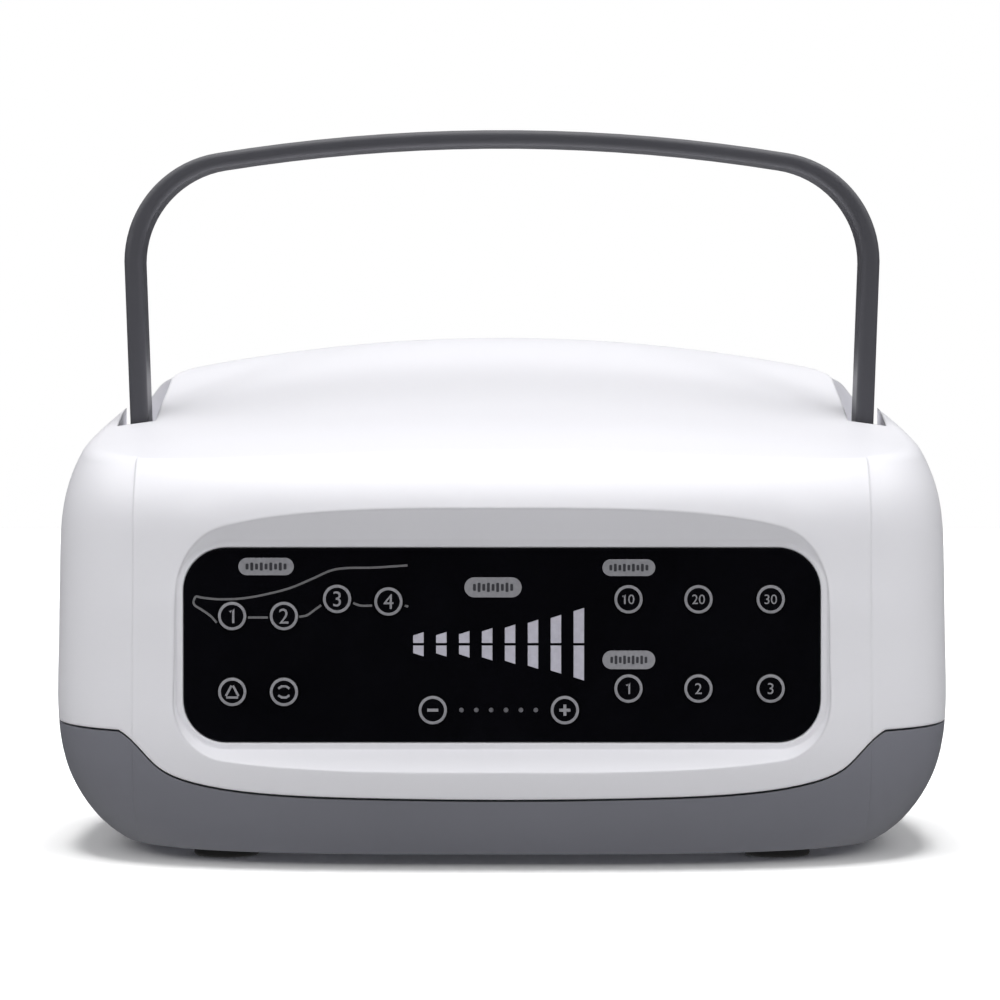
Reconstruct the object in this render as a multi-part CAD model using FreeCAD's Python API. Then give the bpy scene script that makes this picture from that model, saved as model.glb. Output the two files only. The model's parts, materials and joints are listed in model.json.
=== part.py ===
"""Compression therapy pump: table-top air pump with a folding carry handle.

Frame: millimetres, +Z up, the control panel faces -Y, +X is to the right of a
person who looks at the panel.  The origin is the bottom centre of the bounding
box, on the surface that the feet stand on.
"""
import FreeCAD, Part
import math
import os
from FreeCAD import Vector

# ---------------------------------------------------------------- housing
BODY_WIDTH = 254.4
BODY_DEPTH = 208.0
FEET_HEIGHT = 3.0
COVER_WALL = 2.5
BASE_WALL = 4.0
FLOOR_THICK = 3.0
PLAN_POWER = 3.3                # exponent of the superellipse seen from above
PLAN_POINTS = 40
LOWER_CURVE_TOP = 38.0          # height where the sides start to tuck under
LOWER_CURVE_SIDE = 32.0         # tuck of the left and right sides at the floor
LOWER_CURVE_FRONT = 20.0
END_CURVE_TOP = 30.0            # height where the front and the back start to tuck under
CURVE_ROOT_Z = -1.0             # the tuck's quarter ellipse would end at this height
SHOULDER_START = 88.0
SHOULDER_RADIUS = 52.0
SHOULDER_LIMIT = math.radians(44)
SHOULDER_RUN = 0.72             # inward run per millimetre of height above the arc
FRONT_LEAN = 0.045
BROW_START = 91.0
BROW_RADIUS = 22.0
BROW_LIMIT = math.radians(65)
TAIL_START = 122.0
TAIL_RADIUS = 24.0
EDGE_RUN = 1.2                  # the same above the brow and tail arcs

# ---------------------------------------------------------------- roof
ROOF_FRONT_Z = 111.3            # height of the roof's centre line at ROOF_FRONT_Y
ROOF_FRONT_Y = -90.0
ROOF_FRONT_SLOPE = 0.18
ROOF_REAR_SLOPE = 0.29
ROOF_BREAK_Y = -20.0
ROOF_CREST_Y = 50.0
ROOF_CREST_RADIUS = 60.0
CROWN_FRONT = 1100.0            # radius of the roof across the body, at the front
CROWN_REAR = 430.0
CROWN_REAR_Y = 80.0
ROOF_EDGE_RADIUS = 6.0

# ---------------------------------------------------------------- cheeks and parting
CHEEK_INSET = 27.2              # from the widest side to the seam of cheek and middle band
CHEEK_STEP = 0.95
CHEEK_STEP_LOW = 0.2
CHEEK_FADE_LOW = 58.0
CHEEK_FADE_HIGH = 100.0
PARTING_SIDE_Z = 35.5
PARTING_INSET = 23.2            # the joint line starts to drop this far in from the side
PARTING_DROP = ((5.5, 4.0), (11.5, 9.6), (21.0, 13.3), (38.0, 15.7), (69.0, 16.9))
PARTING_CENTRE_DROP = 17.3
REVEAL = 0.6
LIP_RISE = 4.0
LIP_CLEARANCE = 0.25

# ---------------------------------------------------------------- inside of the cover and the base
BOSS_RADIUS = 4.5               # cover bosses that stand on the base's screw pillars
BEARING_WALL = 3.0              # round the handle's pins
BEARING_END = 2.0               # past the inner end of a pin's hole
BOARD_BOSS_RADIUS = 3.0
REAR_BOSS_RADIUS = 2.8
REAR_BOSS_DEPTH = 4.0
REAR_HOLE_DEPTH = 3.8
REAR_WINDOW_CORNER = 3.0
MOUNT_SEAT = 2.0                # raised seats of the pump's rubber mounts
MOUNT_SEAT_RIM = 1.5
MANIFOLD_STAND_RADIUS = 3.8
FLOOR_VENT_PITCH = 8.8
FLOOR_VENT_WIDTH = 3.0
FLOOR_VENT_FRONT_Y = -14.0
FLOOR_VENT_REAR_Y = 22.0

# ---------------------------------------------------------------- control panel
PANEL_WIDTH = 171.2
PANEL_HEIGHT = 52.3
PANEL_CENTRE_Z = 59.2
PANEL_CORNER = 11.5
PANEL_THICK = 2.4
PANEL_SETBACK = 12.0            # from the body's front to the face of the panel
PANEL_GAP = 0.15
LAND = 1.9                      # flat rim of the recess round the panel
FLARE_DEPTH = 20.0
FLARE_TOP = 20.0
FLARE_BOTTOM = 9.2
FLARE_SIDE = 15.0
SEAT_RIM = 3.2                  # how far the panel rests on its seat
SEAT_THICK = 2.4

# ---------------------------------------------------------------- keys and lights
KEY_RADIUS = 4.0
KEY_GAP = 0.2
KEY_PROUD = 0.45
KEY_FLANGE_RADIUS = 5.2
KEY_FLANGE_THICK = 1.0
KEY_TRAVEL = 0.6
KEY_STEM_RADIUS = 1.3
SWITCH_SIZE = 6.0
SWITCH_DEPTH = 3.4
SWITCH_BORE_RADIUS = 1.6
SWITCH_BORE_DEPTH = 1.4
STEM_ENTRY = 0.5
CHAMBER_KEYS = ((-72.5, 67.0), (-58.6, 67.0), (-44.3, 71.6), (-30.5, 70.9))
FOOT_KEYS = ((-72.5, 46.6), (-58.6, 46.6))
LEVEL_KEYS = ((-18.6, 41.7), (16.9, 41.7))
RIGHT_KEY_X = (34.0, 52.8, 72.2)
TIMER_KEY_Z = 71.5
MODE_KEY_Z = 47.5
BAR_WIDTH = 2.8
BAR_PITCH = 6.16
BAR_HEIGHTS = (5.6, 5.7, 6.2, 7.8, 9.7, 12.3, 14.9, 18.6)
BAR_CENTRE_X = -0.9
BAR_CENTRE_Z = 59.4
BAR_SLANT = 0.9
BAR_SPLIT = 0.7
DOT_COUNT = 6
DOT_PITCH = 4.0
DOT_RADIUS = 0.6
LIGHT_GAP = 0.05
LIGHT_PROUD = 0.05
CHIP_WIDTH = 1.8                # chips behind the bars; those behind the dots are narrower
DOT_CHIP_WIDTH = 1.6
CHIP_LENGTH = 1.2
CHIP_HEIGHT = 0.75
CHIP_GAP = 0.05
SMALL_EDGE = 0.3                # rounding of the panel and the keycaps
STEM_CLEARANCE = 0.6            # from the pressed flange to the front of the switches
CONTROL_BOARD_RIM = 4.0         # the board reaches this far past the sides of the panel
CONTROL_BOARD_CUT = 1.0         # and ends this far inside its top and bottom
CONTROL_HOLE_OUT = 1.0
CONTROL_HOLE_DROP = 6.0
BOARD_CORNER = 2.0
CONNECTOR_WIDTH = 28.0
CONNECTOR_SIZE = 6.0
CONNECTOR_RISE = 3.0            # above the panel's lower edge
CONNECTOR_SINK = 0.2

# ---------------------------------------------------------------- carry handle
PIVOT_Z = 112.0
PIVOT_Y = 0.0
HANDLE_RISE = 92.8              # from the pivot to the top of the bail
HANDLE_BAND = 16.0
HANDLE_FORWARD = 1.0            # the band's centre lies this far in front of the pivot
HANDLE_INSET = 17.3             # from the widest side of the body to the outside of a leg
HANDLE_LEG_THICK = 5.3
HANDLE_BAR_THICK = 4.4
HANDLE_ARCH_RADIUS = 520.0
HANDLE_CORNER_RADIUS = 32.0
HANDLE_SPLAY = 2.6
HANDLE_EDGE = 1.7
PIN_RADIUS = 2.5
PIN_GAP = 0.05
PIN_OUTER_REACH = 3.0
PIN_INNER_REACH = 4.0
PIN_END_GAP = 0.2
PIN_CHAMFER = 0.3

# ---------------------------------------------------------------- handle slots
SLOT_INNER_GAP = 1.4            # between the slot's walls and the legs
SLOT_OUTER_GAP = 1.7
SLOT_FRONT_GAP = 1.4
SLOT_REAR_Y = 44.0
SLOT_FLOOR_DROP = 9.8           # floor below the pivot, at the front end
SLOT_REAR_DROP = 4.0            # and at the rear end
SLOT_WALL = 2.5
EAR_REAR_Y = 16.0               # the ear outside the slot ends here
NOTCH_RISE = 5.0                # floor of the side opening above the pivot

# ---------------------------------------------------------------- rear bay and its fittings
BAY_WIDTH = 150.0
BAY_HEIGHT = 58.0
BAY_CENTRE_Z = 66.0
BAY_CORNER = 8.0
BAY_SETBACK = 6.0               # from the body's back to the face of the rear panel
BAY_FLARE = 8.0
REAR_PANEL_THICK = 2.0
REAR_PANEL_GAP = 0.15
REAR_SEAT_RIM = 5.0
REAR_SCREW_INSET = 3.0          # from the edges of the rear panel
SOCKET_X = -36.0
SOCKET_Z = 70.0
SOCKET_WIDTH = 62.0
SOCKET_HEIGHT = 20.0
SOCKET_FLANGE = 4.0
SOCKET_DEPTH = 16.0
SOCKET_PROUD = 2.0
SOCKET_CORNER = 3.0
SOCKET_FLANGE_CORNER = 4.5
KEYWAY_INSET = 3.0              # the coupling's keyway, above the ports
KEYWAY_HEIGHT = 2.4
KEYWAY_RISE = 2.6
KEYWAY_DEPTH = 3.0
FLANGE_EDGE = 0.8               # rounding of the flanges on the rear panel
FLANGE_LAP = 0.05               # a flange and its body share this much depth
PORT_COUNT = 4
PORT_PITCH = 13.5
PORT_RADIUS = 3.6
PORT_DEPTH = 13.0
SPIGOT_LENGTH = 6.0
AIRWAY_RADIUS = 0.9
INLET_X = 44.0
INLET_Z = 56.0
INLET_WIDTH = 27.6
INLET_HEIGHT = 19.8
INLET_CAVITY_WIDTH = 24.2
INLET_CAVITY_HEIGHT = 16.2
INLET_CAVITY_DEPTH = 17.0
INLET_BLADE_LENGTH = 12.5
INLET_FLANGE = 2.4
INLET_CORNER = 2.0
INLET_BACK_WALL = 3.0
INLET_RIM = 2.0                 # the flange reaches this far past the inlet's body
INLET_CHAMFER = 4.0             # of the cavity's two upper corners
INLET_BLADES = ((-7.0, -2.0), (0.0, 2.0), (7.0, -2.0))     # x, z from the inlet's centre
INLET_BLADE_WIDTH = 2.0
INLET_BLADE_HEIGHT = 4.0
INLET_TAIL = 8.0                # solder tails behind the cavity
ROCKER_X = 44.0
ROCKER_Z = 79.5
ROCKER_WIDTH = 16.0
ROCKER_HEIGHT = 12.0
ROCKER_TILT = 8.0
ROCKER_GAP = 0.4
ROCKER_AXLE_RADIUS = 1.0
ROCKER_AXLE_DEPTH = 3.0         # behind the face of the rear panel
SWITCH_HOUSING_DEPTH = 14.0
ROCKER_WALL = 1.6               # housing walls round the rocker
ROCKER_CORNER = 1.0
ROCKER_BACK_WALL = 2.0
ROCKER_RIM = 1.2                # the housing's flange
ROCKER_RIM_THICK = 1.4
ROCKER_AXLE_REACH = 1.2         # the axle's stubs past the rocker's sides
ROCKER_BORE_REACH = 1.0         # their holes in the housing's walls
ROCKER_EDGE_DROP = 0.3          # the rocker is this much lower than its opening, top and bottom
ROCKER_PROUD = 1.9
ROCKER_DISH = 1.1
ROCKER_SHOULDER = 0.5           # behind the axle the rocker narrows to its foot
ROCKER_FOOT = 3.4
ROCKER_FOOT_HALF = 2.2
SWITCH_TAB_X = 5.0              # terminals of the switch
SWITCH_TAB_HALF_WIDTH = 2.4
SWITCH_TAB_HALF_THICK = 0.4
SWITCH_TAB_LENGTH = 7.0
SWITCH_TAB_ROOT = 0.5
VENT_COUNT = 7
VENT_PITCH = 4.4
VENT_X = 3.0
REAR_VENT_WIDTH = 1.8
REAR_VENT_HEIGHT = 9.0
REAR_VENT_DROP = 17.0           # below the bay's centre

# ---------------------------------------------------------------- screws and pillars
POST_INSET_X = 35.2             # from the body's sides to the screw pillars
POST_INSET_Y = 60.0
POST_RADIUS = 5.2
POST_BORE = 3.4
POST_WEB_Z = 40.0
POST_WEB = 2.6
SCREW_RADIUS = 1.4
SCREW_HEAD_RADIUS = 2.8
SCREW_HEAD = 2.0
SCREW_GAP = 0.1
SCREW_BITE = 9.0
SCREW_HOLE_SPARE = 3.0          # the hole goes on past the screw's tip
CROSS_HALF_WIDTH = 0.4          # cross recess of a screw's head
CROSS_REACH = 1.8
CROSS_DEPTH = 0.9
BOARD_SCREW_BITE = 3.5
MANIFOLD_SCREW_BITE = 4.5
CONTROL_SCREW_BITE = 4.0
CONTROL_HOLE_SPARE = 0.4
SMALL_HEAD = 1.6                # head and cross recess of the screws along Y
SMALL_CROSS_HALF_WIDTH = 0.35
SMALL_CROSS_SHARE = 1.3         # of the screw's radius
SMALL_CROSS_DEPTH = 0.7
FOOT_INSET_X = 51.2
FOOT_INSET_Y = 40.0
FOOT_RADIUS = 9.0
FOOT_SINK = 1.0
FOOT_GAP = 0.3
FOOT_EDGE = 0.8
PEG_RADIUS = 2.0
REAR_SCREW_RADIUS = 1.1
REAR_SCREW_LENGTH = 6.0

# ---------------------------------------------------------------- boards, pump and valves
BOARD_THICK = 1.6
STANDOFF = 7.0
STANDOFF_RADIUS = 2.8
MAIN_BOARD = (-84.0, -78.0, 20.0, -36.0)        # x0, y0, x1, y1
SUPPLY_BOARD = (36.0, -56.0, 84.0, 50.0)
BOARD_INSET = 4.0
CHIP_SINK = 0.1
# parts on the main board: x and y from its corner, width, depth, height
MAIN_CHIPS = ((16.0, 8.0, 14.0, 14.0, 1.6), (38.0, 12.0, 8.0, 8.0, 1.4), (54.0, 4.0, 30.0, 6.0, 7.0))
VALVE_PLUG = (10.0, 6.0, 7.0)   # width, depth, height of the plugs of the valves' wires
VALVE_PLUG_X = 18.0             # first plug, from the board's corner
VALVE_PLUG_PITCH = 15.0
VALVE_PLUG_INSET = 2.0
SENSOR_INSET = 22.0             # from the main board's right and front edges
SENSOR_SIZE = 12.0
SENSOR_HEIGHT = 6.0
SENSOR_PORT_LENGTH = 6.0
SENSOR_PORT_RADIUS = 1.6
SENSOR_PORT_BORE = 0.7
CORE_Y = 34.0                   # the transformer's iron core, from the power board's front edge
CORE_SIZE = (28.0, 28.0, 24.0)
WINDING_SIZE = (34.0, 20.0, 13.0)
WINDING_RISE = 6.0
SINK_PLACE = (5.0, 12.0)
SINK_SIZE = (3.0, 20.0, 26.0)
BIG_CAP = (8.0, 26.0)           # radius, height
SMALL_CAP = (5.0, 18.0)
CAP_EDGE = 0.8
SMALL_CAP_X = (12.0, 24.0)
REAR_ROW_Y = 22.0               # small capacitors and choke, from the power board's back edge
CHOKE_RADIUS = 8.0
CHOKE_BORE = 3.5
CHOKE_HEIGHT = 9.0
CAP_X = 6.0                     # big capacitor and choke, from the board's centre line
CAP_Y = 20.0
CHOKE_X = 10.0
PUMP_X = -28.0
PUMP_Y = 4.0
PUMP_Z = 42.0
PUMP_LENGTH = 62.0
PUMP_WIDTH = 54.0
PUMP_HEIGHT = 42.0
HEAD_RADIUS = 20.0
HEAD_LENGTH = 22.0
MOUNT_RADIUS = 5.0
NOZZLE_RADIUS = 1.85
NOZZLE_LENGTH = 8.0
NOZZLE_OFFSET = 16.0            # from the end of the pump's housing
PUMP_MOUNT_INSET = 8.0
MOUNT_WAIST = 1.6               # groove round a rubber mount
MOUNT_WAIST_OUT = 0.6
PEG_LAP = 0.5
PUMP_EDGE = 3.0
TUNNEL_HALF_WIDTH = 9.0         # tunnel of the armature, from end to end of the housing
TUNNEL_HALF_HEIGHT = 11.0
COIL_POCKET = (20.0, 21.0, 14.0)        # half sizes along X, Y and Z
COOLING_GROOVES_X = (-22.0, -11.0, 0.0, 11.0, 22.0)
COOLING_GROOVE_WIDTH = 3.0
COOLING_GROOVE_REACH = 22.0
COOLING_GROOVE_DEPTH = 2.0
COIL_GAP = 0.2
CORE_HALF_HEIGHT = 6.0
WINDING_HALF_LENGTH = 12.0
WINDING_INSET = 0.5
WINDING_EDGE = 3.0
ARMATURE_REACH = 6.0            # the bar reaches this far past each end of the housing
ARMATURE_BAR = (3.0, 5.0)       # half sizes along Y and Z
MAGNET_X = 14.0
MAGNET_HALF = (7.0, 6.0, 9.0)
END_PLATE_RADIUS = 9.0
END_PLATE_THICK = 2.5
END_PLATE_LAP = 0.5
DIAPHRAGM_BORE = 9.4
DIAPHRAGM_START = 5.4           # from the end of the housing
DIAPHRAGM_THICK = 2.0
CLAMP_GAP = 0.05
CHAMBER_RADIUS = 12.5
CHAMBER_END = 14.0
RIM_OUT = 1.5
RIM_LAP = 0.3
RIM_START = 5.0
RIM_END = 8.0
DUCT_RISE = 6.0                 # from the chamber to the nozzle, above the head's centre
MANIFOLD_X = -36.0
MANIFOLD_Y = 58.0
MANIFOLD_WIDTH = 86.0
MANIFOLD_DEPTH = 16.0
MANIFOLD_BASE_Z = 14.0
MANIFOLD_HEIGHT = 16.0
MANIFOLD_END = 6.0              # extra length at each end, past the valves
MANIFOLD_INLET_RISE = 10.0
INLET_DUCT = 3.0
VALVE_PITCH = 20.5
VALVE_SIZE = 15.0
VALVE_HEIGHT = 24.0
PLUNGER_RADIUS = 3.0
PLUNGER_GAP = 0.25
PLUNGER_LIFT = 1.5
VALVE_NOZZLE_LENGTH = 5.0
VALVE_NOZZLE_DROP = 5.0         # below the manifold's top
MANIFOLD_SCREW_INSET = 5.0
MANIFOLD_EDGE = 1.5
MANIFOLD_SEAT = 4.0             # thickness under the heads of its screws
RAIL_RADIUS = 2.5               # long air duct inside the manifold
RAIL_RISE = 5.0
RAIL_END_WALL = 4.0
SEAT_BORE = 1.2                 # air hole under each valve
NOZZLE_DUCT_Y = 4.0             # start of a nozzle's duct, behind the manifold's centre
NOZZLE_LAP = 1.0
YOKE_OUT = 1.2                  # steel yoke round a valve's coil
YOKE_HALF_DEPTH = 5.0
YOKE_TOP = 1.5
PLUNGER_FLOOR = 1.5             # bottom of the plunger's bore, above the valve's foot
PLUNGER_ROOF = 3.0              # thickness over the bore
PLUNGER_HEADROOM = 0.3
PLUNGER_CHAMFER = 0.5
TUBE_RADIUS = 3.0
TUBE_BORE = 1.9
TUBE_BEND = 3.2                 # radius of an outlet tube's bends
HOSE_BEND = 7.0
HOSE_RISE = 22.0                # first run of the pump's hose, above its nozzle
HOSE_SIDE_RUN = 15.0            # past the manifold's end
HOSE_FRONT_RUN = 18.0           # in front of the manifold
HOSE_FALL = 6.0                 # height of the hose's bend over the pump, above its nozzle
HOSE_END_GAP = 0.5

# ---------------------------------------------------------------- worked out from the above
HALF_WIDTH = BODY_WIDTH / 2
HALF_DEPTH = BODY_DEPTH / 2
CHEEK_X = HALF_WIDTH - CHEEK_INSET
PARTING_SIDE_X = HALF_WIDTH - PARTING_INSET
PANEL_Y = PANEL_SETBACK - HALF_DEPTH
BAY_Y = HALF_DEPTH - BAY_SETBACK
HANDLE_TOP_Z = PIVOT_Z + HANDLE_RISE
HANDLE_HALF_SPAN = HALF_WIDTH - HANDLE_INSET
SLOT_INNER_X = HANDLE_HALF_SPAN - HANDLE_SPLAY - HANDLE_LEG_THICK - SLOT_INNER_GAP
SLOT_OUTER_X = HANDLE_HALF_SPAN + SLOT_OUTER_GAP
SLOT_FRONT_Y = PIVOT_Y - HANDLE_FORWARD - HANDLE_BAND / 2 - SLOT_FRONT_GAP
NOTCH_FLOOR_Z = PIVOT_Z + NOTCH_RISE
POST_X, POST_Y = HALF_WIDTH - POST_INSET_X, HALF_DEPTH - POST_INSET_Y
FOOT_X, FOOT_Y = HALF_WIDTH - FOOT_INSET_X, HALF_DEPTH - FOOT_INSET_Y
FLOOR_Z = FEET_HEIGHT + FLOOR_THICK
TALL = 260.0                    # tools reach this far past the body
PANEL_BOTTOM = PANEL_CENTRE_Z - PANEL_HEIGHT / 2
PANEL_BACK_Y = PANEL_Y + PANEL_THICK
SEAT_BACK_Y = PANEL_BACK_Y + SEAT_THICK
KEY_FLANGE_Y = PANEL_BACK_Y + KEY_GAP / 2
STEM_END_Y = KEY_FLANGE_Y + KEY_FLANGE_THICK + KEY_TRAVEL + STEM_CLEARANCE + STEM_ENTRY
SWITCH_FRONT_Y = STEM_END_Y - STEM_ENTRY
CONTROL_BOARD_Y = SWITCH_FRONT_Y + SWITCH_DEPTH
CHIP_FRONT_Y = CONTROL_BOARD_Y - CHIP_HEIGHT
REAR_PANEL_BACK_Y = BAY_Y - REAR_PANEL_THICK
REAR_SEAT_BACK_Y = REAR_PANEL_BACK_Y - SEAT_THICK
FRONT_SEAT_DEPTH = PANEL_THICK + SEAT_THICK
REAR_SEAT_DEPTH = REAR_PANEL_THICK + SEAT_THICK
BOARD_Z = FLOOR_Z + STANDOFF


# ================================================================ helpers
def box(x0, y0, z0, x1, y1, z1):
    return Part.makeBox(x1 - x0, y1 - y0, z1 - z0, Vector(x0, y0, z0))


def cylinder(radius, start, end):
    start = Vector(*start)
    along = Vector(*end) - start
    return Part.makeCylinder(radius, along.Length, start, along)


def centred_box(x, y, z, half_x, half_y, half_z):
    """Box by its centre and half sizes."""
    return box(x - half_x, y - half_y, z - half_z, x + half_x, y + half_y, z + half_z)


def tube(outer, inner, start, end):
    return cylinder(outer, start, end).cut(cylinder(inner, start, end))


def mirrored(shape):
    return shape.mirror(Vector(0, 0, 0), Vector(1, 0, 0))


def both_sides(shape):
    return [shape, mirrored(shape)]


def rounded_outline(width, height, radius, x, y, z):
    """Rounded rectangle in the plane across Y, centred on (x, z)."""
    w, h, r = width / 2, height / 2, min(radius, width / 2 - 0.01, height / 2 - 0.01)
    k = r * (1 - math.sqrt(0.5))

    def at(px, pz):
        return Vector(x + px, y, z + pz)

    corners = []
    for sx, sz in ((1, -1), (1, 1), (-1, 1), (-1, -1)):
        first = at(sx * (w - r), sz * h) if sx * sz < 0 else at(sx * w, sz * (h - r))
        middle = at(sx * (w - k), sz * (h - k))
        last = at(sx * w, sz * (h - r)) if sx * sz < 0 else at(sx * (w - r), sz * h)
        corners.append((first, middle, last))
    edges = []
    for i, corner in enumerate(corners):
        edges.append(Part.Arc(*corner).toShape())
        edges.append(Part.LineSegment(corner[2], corners[(i + 1) % 4][0]).toShape())
    return Part.Wire(edges)


def rounded_plate(width, height, radius, x, z, y0, y1):
    face = Part.Face(rounded_outline(width, height, radius, x, y0, z))
    return face.extrude(Vector(0, y1 - y0, 0))


def prism_yz(points, x0, x1):
    """Prism along X from a closed polygon of (y, z) points."""
    corners = [Vector(x0, y, z) for y, z in points]
    face = Part.Face(Part.makePolygon(corners + corners[:1]))
    return face.extrude(Vector(x1 - x0, 0, 0))


def softened(shape, radius, keep):
    """Fillet of the edges for which keep(edge) is true."""
    return shape.makeFillet(radius, [edge for edge in shape.Edges if keep(edge)])


def along(edge, direction):
    """True for a straight edge that runs along the direction."""
    if not isinstance(edge.Curve, Part.Line):
        return False
    return abs(edge.Curve.Direction.dot(direction)) > 0.999


X_AXIS, Y_AXIS, Z_AXIS = Vector(1, 0, 0), Vector(0, 1, 0), Vector(0, 0, 1)


# ================================================================ outer form
def tuck(z, top, width):
    """Quarter-ellipse inset of the wall below the height top."""
    if z >= top:
        return 0.0
    t = (top - z) / (top - CURVE_ROOT_Z)
    return width * (1 - math.sqrt(1 - t * t))


def arc_inset(rise, radius, limit, run):
    """Inset of a wall that bends inwards along an arc up to the angle limit, then runs straight."""
    if rise <= 0:
        return 0.0
    end = radius * math.sin(limit)
    on_arc = min(rise, end)
    return radius - math.sqrt(radius ** 2 - on_arc ** 2) + run * (rise - on_arc)


def half_width(z):
    reach = HALF_WIDTH - tuck(z, LOWER_CURVE_TOP, LOWER_CURVE_SIDE)
    return reach - arc_inset(z - SHOULDER_START, SHOULDER_RADIUS, SHOULDER_LIMIT, SHOULDER_RUN)


def front_reach(z):
    reach = HALF_DEPTH - tuck(z, END_CURVE_TOP, LOWER_CURVE_FRONT)
    reach -= FRONT_LEAN * max(0.0, z - LOWER_CURVE_TOP)
    return reach - arc_inset(z - BROW_START, BROW_RADIUS, BROW_LIMIT, EDGE_RUN)


def rear_reach(z):
    reach = HALF_DEPTH - tuck(z, END_CURVE_TOP, LOWER_CURVE_FRONT)
    return reach - arc_inset(z - TAIL_START, TAIL_RADIUS, BROW_LIMIT, EDGE_RUN)


def plan_outline(z, inset):
    """Level outline of the body at height z, moved inwards by inset."""
    points = []
    for i in range(PLAN_POINTS):
        angle = 2 * math.pi * i / PLAN_POINTS
        c, s = math.cos(angle), math.sin(angle)
        reach = rear_reach(z) if s > 0 else front_reach(z)
        x = (half_width(z) - inset) * math.copysign(abs(c) ** (2 / PLAN_POWER), c)
        y = (reach - inset) * math.copysign(abs(s) ** (2 / PLAN_POWER), s)
        points.append(Vector(x, y, z))
    curve = Part.BSplineCurve()
    curve.interpolate(Points=points, PeriodicFlag=True)
    return Part.Wire([curve.toShape()])


WALL_HEIGHTS = (6.0, 10.0, 16.0, 24.0, 36.0, 56.0, 76.0, 90.0, 97.0, 103.0, 108.0, 113.0,
                120.0, 128.0, 136.0, 144.0, 156.0)


def side_wall(inset, bottom=FEET_HEIGHT, step=None):
    """Solid inside the side walls; step(z) adds an inset that changes with height."""
    heights = [bottom] + [z for z in WALL_HEIGHTS if z > bottom + 2]
    wires = []
    for z in heights:
        extra = step(z) if step else 0.0
        wires.append(plan_outline(z, inset + extra))
    return Part.makeLoft(wires, True, False)


ROOF_SECTIONS = (-140.0, -100.0, -60.0, -30.0, -10.0, 15.0, 40.0, 55.0, 70.0, 85.0, 105.0, 140.0)
ROOF_OVERHANG = 40.0            # the solid under the roof reaches this far past the body


def roof_height(y):
    """Height of the roof's centre line."""
    z = ROOF_FRONT_Z + ROOF_FRONT_SLOPE * (min(y, ROOF_BREAK_Y) - ROOF_FRONT_Y)
    z += ROOF_REAR_SLOPE * max(0.0, min(y, ROOF_CREST_Y) - ROOF_BREAK_Y)
    if y > ROOF_CREST_Y:
        past = y - ROOF_CREST_Y
        lean = math.atan(ROOF_REAR_SLOPE)
        z += ROOF_REAR_SLOPE * past - past ** 2 / (2 * ROOF_CREST_RADIUS * math.cos(lean))
    return z


def crown_radius(y):
    share = (y - ROOF_FRONT_Y) / (CROWN_REAR_Y - ROOF_FRONT_Y)
    return CROWN_FRONT + (CROWN_REAR - CROWN_FRONT) * min(1.0, max(0.0, share))


def under_roof(inset):
    """Solid below the crowned, sloping roof."""
    reach = HALF_WIDTH + ROOF_OVERHANG
    wires = []
    for y in ROOF_SECTIONS:
        top = roof_height(y) - inset
        radius = crown_radius(y)
        side = top - (radius - math.sqrt(radius ** 2 - reach ** 2))
        left, right = Vector(-reach, y, side), Vector(reach, y, side)
        low_left, low_right = Vector(-reach, y, -ROOF_OVERHANG), Vector(reach, y, -ROOF_OVERHANG)
        wires.append(Part.Wire([
            Part.Arc(left, Vector(0, y, top), right).toShape(),
            Part.LineSegment(right, low_right).toShape(),
            Part.LineSegment(low_right, low_left).toShape(),
            Part.LineSegment(low_left, left).toShape()]))
    return Part.makeLoft(wires, True, False)


def form(inset, bottom=FEET_HEIGHT, step=None):
    """The body's closed form, with its roof edge rounded."""
    solid = side_wall(inset, bottom, step).common(under_roof(inset)).Solids[0]
    roof = max(solid.Faces, key=lambda face: face.CenterOfMass.z)
    return solid.makeFillet(ROOF_EDGE_RADIUS - inset, roof.Edges)


def cheek_step(z):
    t = min(1.0, max(0.0, (z - CHEEK_FADE_LOW) / (CHEEK_FADE_HIGH - CHEEK_FADE_LOW)))
    return CHEEK_STEP_LOW + (CHEEK_STEP - CHEEK_STEP_LOW) * t * t * (3 - 2 * t)


def outer_form():
    """Middle band of the full form between two slightly narrower cheeks."""
    slab = box(-CHEEK_X, -TALL, -TALL, CHEEK_X, TALL, TALL)
    middle = form(0.0).common(slab)
    cheeks = form(0.0, step=cheek_step).cut(slab)
    return middle.fuse(cheeks.Solids)


def below_parting(shift):
    """Region under the joint line of base and cover, moved by shift, as a prism along Y."""
    half = [(PARTING_SIDE_X - inset, PARTING_SIDE_Z - drop) for inset, drop in PARTING_DROP]
    line = [(-PARTING_SIDE_X, PARTING_SIDE_Z)] + [(-x, z) for x, z in half]
    line += [(0.0, PARTING_SIDE_Z - PARTING_CENTRE_DROP)]
    line += [(x, z) for x, z in reversed(half)] + [(PARTING_SIDE_X, PARTING_SIDE_Z)]
    curve = Part.BSplineCurve()
    curve.interpolate(Points=[Vector(x, -TALL, z + shift) for x, z in line])
    z = PARTING_SIDE_Z + shift
    corners = [Vector(PARTING_SIDE_X, -TALL, z), Vector(TALL, -TALL, z), Vector(TALL, -TALL, -TALL),
               Vector(-TALL, -TALL, -TALL), Vector(-TALL, -TALL, z), Vector(-PARTING_SIDE_X, -TALL, z)]
    edges = [curve.toShape()]
    edges += [Part.LineSegment(a, b).toShape() for a, b in zip(corners, corners[1:])]
    return Part.Face(Part.Wire(edges)).extrude(Vector(0, 2 * TALL, 0))


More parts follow.
